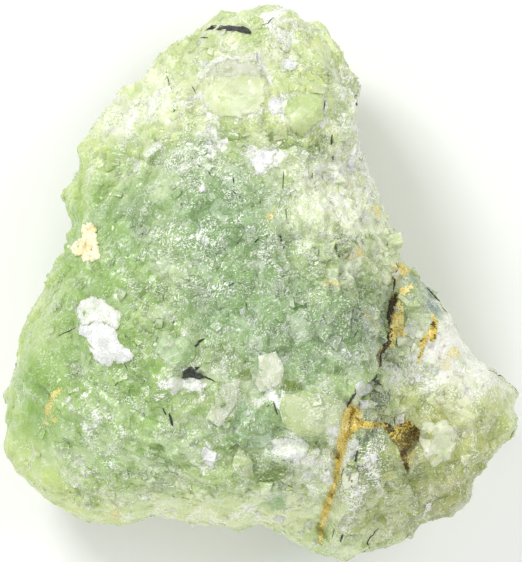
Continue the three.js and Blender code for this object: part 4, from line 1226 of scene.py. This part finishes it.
def build_grains(name, material, surface, spots, seed):
    """A joined mesh of grains, from spots that give x, y, radius and shade."""
    draw = random.Random(seed)
    parts, shades = [], []
    for x, y, radius, shade in list(spots(draw)):
        parts.append(grain_at(*surface.seen(x, y), radius, draw))
        shades += [shade] * len(GRAIN_CORNERS)
    points, faces = merged(parts)
    points[:, 2] = np.maximum(points[:, 2], 0)
    piece = make_piece(name, points, faces, material)
    store_masks(piece.data, dict(shade=np.array(shades)))


def build_stone():
    """The stone's skin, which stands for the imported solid, and what the other pieces need of it."""
    directions, quads = ball_grid(GRID)
    points = stone_points(directions)
    masks = stone_masks(points)
    piece = make_piece(STONE + "_skin", points, quads, MATERIALS["stone"], STONE_CREASE)
    store_masks(piece.data, masks)
    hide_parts(STONE)
    normals = np.empty(len(points) * 3)
    piece.data.vertex_normals.foreach_get("vector", normals)
    return points, normals.reshape(-1, 3), quads, masks


def build_plates(surface):
    """The crystals that stand out one by one, in one mesh with masks for their colours."""
    draw = random.Random(SEEDS["plates"])
    parts, masks = [], []
    for kind_name, colour, lift, outline in PLATES:
        kind = PLATE_KINDS[kind_name]
        points, faces, on_rim = plate(surface, outline, lift, draw, kind)
        parts.append((points, faces))
        own = dict(tint=np.tile(np.array(colour), (len(points), 1)))
        own["frost"] = np.where(on_rim, kind["rim"], kind["inner"])
        for name in ("ochre", "brown", "dark", "grain", "sugar"):
            own[name] = np.full(len(points), float(kind.get(name, 0)))
        masks.append(own)
    points, faces = merged(parts)
    piece = make_piece("crystal_plates", points, faces, MATERIALS["stone"], PLATE_CREASE)
    store_masks(piece.data, {name: np.concatenate([own[name] for own in masks]) for name in masks[0]})


def tangents(normals, draw):
    """Two directions along the surface for each normal, turned at random."""
    loose = draw.normal(size=normals.shape)
    first = unit(np.cross(normals, loose))
    return first, np.cross(normals, first)


def pick_points(count, weights, draw):
    """Different points of the skin, likelier where the weight is greater."""
    return draw.choice(len(weights), size=count, replace=False, p=weights / weights.sum())


def carried(masks, chosen, count):
    """The masks of the chosen points, repeated for each corner of what stands on them."""
    return {name: np.repeat(values[chosen], count, axis=0) for name, values in masks.items()}


def shard_places(centre, normals, inner, draw):
    """Eight skewed corners of each shard, and the faces between them."""
    up = unit(normals + SHARD_LEAN * draw.normal(size=(SHARDS, 3)))
    first, second = tangents(up, draw)
    length = SHARD_SIZE * np.exp(SHARD_SPREAD * draw.normal(size=SHARDS))
    length = length * (SHARD_RIM + (1 - SHARD_RIM) * inner)
    length = np.minimum(length, SHARD_LIMIT[0] + (SHARD_LIMIT[1] - SHARD_LIMIT[0]) * inner)
    width = length * draw.uniform(*SHARD_WIDTH, SHARDS)
    depth = np.minimum(length, SHARD_THICKEST) * draw.uniform(*SHARD_DEPTH, SHARDS)
    corners = np.array([(a, b, c) for c in (-1, 1) for b in (-1, 1) for a in (-1, 1)], float)
    shaped = corners + draw.uniform(-SHARD_SKEW, SHARD_SKEW, (SHARDS, 8, 3))
    out = draw.uniform(*SHARD_OUT, SHARDS)
    places = centre[:, None] + 0.5 * (
        shaped[..., :1] * (length[:, None] * first)[:, None]
        + shaped[..., 1:2] * (width[:, None] * second)[:, None]
        + (shaped[..., 2:] + out[:, None, None]) * (depth[:, None] * up)[:, None])
    sides = np.array([(0, 2, 3, 1), (4, 5, 7, 6), (0, 1, 5, 4), (2, 6, 7, 3), (0, 4, 6, 2), (1, 3, 7, 5)])
    return places, (np.arange(SHARDS) * 8)[:, None, None] + sides


def build_shards(points, normals, masks):
    """Small blocky crystals that stand out of the stone at all angles."""
    draw = np.random.default_rng(SEEDS["shards"])
    inner = ramp(points[:, 2], *SHARD_SIDE) * ramp(normals[:, 2], *SHARD_FACING)
    weight = (1 - np.clip(masks["ochre"], 0, 1)) * (SHARD_LEAST + masks["grain"] ** 2)
    weight = weight * (SHARD_RIM_WEIGHT + (1 - SHARD_RIM_WEIGHT) * inner)
    chosen = pick_points(SHARDS, weight * (points[:, 2] > SHARD_BASE), draw)
    places, faces = shard_places(points[chosen], normals[chosen], inner[chosen], draw)
    places[..., 2] = np.maximum(places[..., 2], 0)
    piece = make_piece("crystal_shards", places.reshape(-1, 3), faces.reshape(-1, 4), MATERIALS["stone"])
    own = carried(masks, chosen, 8)
    tone = np.repeat(draw.uniform(*SHARD_TONE, SHARDS), 8)
    own["tint"] = np.clip(own["tint"] * tone[:, None], 0, BRIGHTEST)
    white = np.where(draw.uniform(size=SHARDS) < WHITE_SHARDS, draw.uniform(*SHARD_FROST, SHARDS), 0)
    own["frost"] = own["frost"] + np.repeat(white, 8) * own["grain"]
    store_masks(piece.data, own)


def chip_places(centre, normals, draw):
    """Corners of each chip: its top, its underside, and the crown in its middle."""
    up = unit(normals + CHIP_LEAN * draw.normal(size=(CHIPS, 3)))
    rising = unit(CHIP_RUN + CHIP_TURN * draw.normal(size=(CHIPS, 3)))
    second = unit(np.cross(up, rising))
    first = np.cross(second, up)
    step = np.arange(CHIP_CORNERS) + CHIP_JITTER * draw.uniform(-1, 1, (CHIPS, CHIP_CORNERS))
    turn = 2 * math.pi * step / CHIP_CORNERS
    size = CHIP_SIZE * np.exp(CHIP_SPREAD * draw.normal(size=CHIPS))
    reach = size[:, None] * draw.uniform(*CHIP_RAGGED, (CHIPS, CHIP_CORNERS))
    along = (CHIP_LENGTH * reach * np.cos(turn))[..., None] * first[:, None]
    beside = (CHIP_WIDTH * reach * np.sin(turn))[..., None] * second[:, None]
    rim = centre[:, None] + along + beside
    thickness = draw.uniform(*CHIP_THICKNESS, CHIPS)[:, None]
    crown = centre + (CHIP_CROWN * thickness) * up
    top, bottom = rim + (thickness * up)[:, None], rim - (CHIP_SINK * up)[:, None]
    return np.concatenate([top, bottom, crown[:, None]], axis=1)


def build_chips(points, normals, masks):
    """Thin ragged white flakes, lying flat."""
    draw = np.random.default_rng(SEEDS["flakes"])
    weight = (CHIP_LEAST + CHIP_GATHERING * masks["frost"]) * (1 - np.clip(masks["ochre"], 0, 1))
    chosen = pick_points(CHIPS, weight * (points[:, 2] > CHIP_BASE), draw)
    places = chip_places(points[chosen], normals[chosen], draw)
    places[..., 2] = np.maximum(places[..., 2], 0)
    corners, count = CHIP_CORNERS, 2 * CHIP_CORNERS + 1
    faces = []
    for start in range(0, CHIPS * count, count):
        for k in range(corners):
            after = (k + 1) % corners
            faces.append([start + 2 * corners, start + k, start + after])
            faces.append([start + k, start + corners + k, start + corners + after, start + after])
        faces.append([start + corners + k for k in reversed(range(corners))])
    piece = make_piece("frost_flakes", places.reshape(-1, 3), faces, MATERIALS["stone"])
    own = carried(masks, chosen, count)
    own["frost"] = np.repeat(draw.uniform(*CHIP_FROST, CHIPS), count)
    own["dark"] *= 0
    store_masks(piece.data, own)


def hidden_needle(surface, start, normal, draw):
    """A needle of random length and turn, from one point of the surface to another."""
    loose = [draw.gauss(0, 1) for _ in range(3)]
    along = np.cross(normal, loose)
    length = draw.uniform(*HIDDEN_NEEDLE_LENGTHS)
    end = start + along / np.linalg.norm(along) * length
    width = draw.uniform(*HIDDEN_NEEDLE_WIDTHS)
    return needle(surface, [start, surface.nearest(end)[0]], width, draw)


def build_needles(surface, points, normals):
    """The dark needles of all sides, with the broad blade and the cluster."""
    draw = random.Random(SEEDS["needles"])
    parts = []
    for width, path in NEEDLES:
        spots = [surface.seen(x, y)[0] for x, y in path]
        parts.append(needle(surface, spots, width, draw))
    low, high = HIDDEN_NEEDLE_HEIGHTS
    sides = [k for k in range(len(points)) if low < points[k][2] < high]
    for _ in range(HIDDEN_NEEDLES):
        start = draw.choice(sides)
        parts.append(hidden_needle(surface, points[start], normals[start], draw))
    for outline in (BLADE, CLUSTER):
        parts.append(plate(surface, outline, BLADE_LIFT, draw, PLATE_KINDS["blade"])[:2])
    blade_and_needles, faces = merged(parts)
    blade_and_needles[:, 2] = np.maximum(blade_and_needles[:, 2], 0)
    make_piece("dark_needles", blade_and_needles, faces, MATERIALS["needle"])


def spots_inside(outline, each, draw):
    """Random places in an outline, about one for each square of that side."""
    corners = np.array(outline)
    low, high = corners.min(axis=0), corners.max(axis=0)
    ring = [tuple(corner) for corner in outline]
    for _ in range(int((high[0] - low[0]) * (high[1] - low[1]) / each ** 2)):
        x, y = draw.uniform(low[0], high[0]), draw.uniform(low[1], high[1])
        if inside(ring, x, y):
            yield x, y


def drift(x, y):
    """A value from 0 to 1 that changes slowly from place to place."""
    along = math.sin(2.9 * x + 1.7 * math.sin(1.3 * y))
    across = math.sin(3.3 * y + 1.9 * math.sin(1.1 * x))
    return 0.5 + 0.25 * (along + across)


def earth_shade(x, y, light, brownness, draw):
    """Shade of a grain of ochre, darker where the vein or crust is brown."""
    scatter = draw.uniform(-LIGHT_SCATTER, LIGHT_SCATTER)
    return light + DRIFT_LIGHT * drift(x, y) + scatter - BROWNING * brownness


def vein_spots(draw):
    """Ochre grains scattered along the veins, more where a vein is wide."""
    for brownness, vein in VEINS:
        for (ax, ay, a_width), (bx, by, b_width) in zip(vein[:-1], vein[1:]):
            length = math.hypot(bx - ax, by - ay)
            for _ in range(int(length * (a_width + b_width) / 2 / (GRANULE * GRANULE) * VEIN_FILL)):
                part = draw.random()
                side = draw.uniform(-0.5, 0.5) * (a_width + part * (b_width - a_width))
                x = ax + part * (bx - ax) - side * (by - ay) / length
                y = ay + part * (by - ay) + side * (bx - ax) / length
                shade = earth_shade(x, y, VEIN_LIGHT, brownness, draw)
                yield x, y, GRANULE * draw.uniform(*VEIN_GRAINS), shade


def crust_spots(draw):
    """Ochre grains spread over the crusts."""
    for brownness, outline in CRUSTS:
        for x, y in spots_inside(outline, GRANULE, draw):
            shade = earth_shade(x, y, CRUST_LIGHT, brownness, draw)
            yield x, y, GRANULE * draw.uniform(*CRUST_GRAINS), shade


def patch_spots(draw):
    """Loose ochre grains in the ochre patches, more where a patch is strong."""
    for cx, cy, half_length, half_width, turn, strength in OCHRE_PATCHES:
        for _ in range(int(SPOT_FILL * half_length * half_width * strength)):
            reach, angle = math.sqrt(draw.random()), draw.uniform(0, 2 * math.pi)
            a, b = half_length * reach * math.cos(angle), half_width * reach * math.sin(angle)
            x = cx + a * math.cos(turn) - b * math.sin(turn)
            y = cy + a * math.sin(turn) + b * math.cos(turn)
            yield x, y, GRANULE * draw.uniform(*PATCH_GRAINS), draw.uniform(*PATCH_LIGHT)


def pit_spots(draw):
    """Grains over the floor and the walls of the weathered pit, lighter on its sunny side."""
    ring = [(PIT["x"] + PIT_RING[0] * math.cos(turn), PIT["y"] + PIT_RING[1] * math.sin(turn))
            for turn in PIT_TURNS]
    for x, y in spots_inside(ring, PIT_SPACING * GRANULE, draw):
        sunny = float(ramp(np.array(y - PIT["y"] - x + PIT["x"]), *PIT_SUN))
        shade = PIT_DRIFT * drift(x, y) + PIT_SUNLIT * sunny + draw.uniform(-PIT_SCATTER, PIT_SCATTER)
        yield x, y, GRANULE * draw.uniform(*PIT_GRAINS), shade


def ochre_spots(draw):
    """Places, radii and shades of the grains in the veins, the crusts, the ochre patches and the pit."""
    return chain(vein_spots(draw), crust_spots(draw), patch_spots(draw), pit_spots(draw))


def cream_spots(draw):
    """The clump of pale grains at the left edge."""
    for x, y in spots_inside(CREAM_CLUMP, CREAM_SPACING, draw):
        yield x, y, draw.uniform(*CREAM_RADIUS), CREAM_DRIFT * drift(x, y) + draw.uniform(0, CREAM_SCATTER)


def plain_material(name, colour, roughness):
    """A material of one colour."""
    shader = Shader(name)
    shader.surface(Base_Color=colour, Roughness=roughness)
    return shader.material


def build_floor():
    mesh = bpy.data.meshes.new("floor")
    corners = [(a * FLOOR_HALF, b * FLOOR_HALF, 0) for a, b in ((-1, -1), (1, -1), (1, 1), (-1, 1))]
    mesh.from_pydata(corners, [], [(0, 1, 2, 3)])
    mesh.materials.append(plain_material("floor_paper", FLOOR_COLOUR, FLOOR_ROUGHNESS))
    floor = put("floor", mesh)


def build_camera():
    camera = bpy.data.cameras.new("camera")
    camera.lens = LENS
    camera.sensor_width = SENSOR
    camera.clip_start = NEAREST
    holder = put("camera", camera)
    holder.location = EYE * MM
    bpy.context.scene.camera = holder


def build_light(name, place, size, watts):
    light = bpy.data.lights.new(name, "AREA")
    light.shape = "SQUARE"
    light.size = size
    light.energy = watts
    holder = put(name, light)
    holder.location = place
    holder.rotation_mode = "QUATERNION"
    holder.rotation_quaternion = (-Vector(place)).to_track_quat("-Z", "Y")


def build_studio():
    build_floor()
    for light in LIGHTS:
        build_light(*light)
    world = bpy.data.worlds.new("world")
    world.use_nodes = True
    background = world.node_tree.nodes["Background"]
    background.inputs["Color"].default_value = (1, 1, 1, 1)
    background.inputs["Strength"].default_value = WORLD_STRENGTH
    bpy.context.scene.world = world
    bpy.context.scene.view_settings.view_transform = "Standard"


MATERIALS = dict(
    stone=stone_material(),
    needle=needle_material(),
    ochre=crust_material("ochre_earth", MUSTARD, OCHRE, BROWN),
    cream=crust_material("cream_grain", IVORY, PEACH, TAN))


def build_all():
    build_camera()
    build_studio()
    points, normals, quads, masks = build_stone()
    surface = Surface(points, quads)
    build_plates(surface)
    build_shards(points, normals, masks)
    build_chips(points, normals, masks)
    build_needles(surface, points, normals)
    build_grains("ochre_crust", MATERIALS["ochre"], surface, ochre_spots, SEEDS["ochre"])
    build_grains("cream_grains", MATERIALS["cream"], surface, cream_spots, SEEDS["cream"])


build_all()
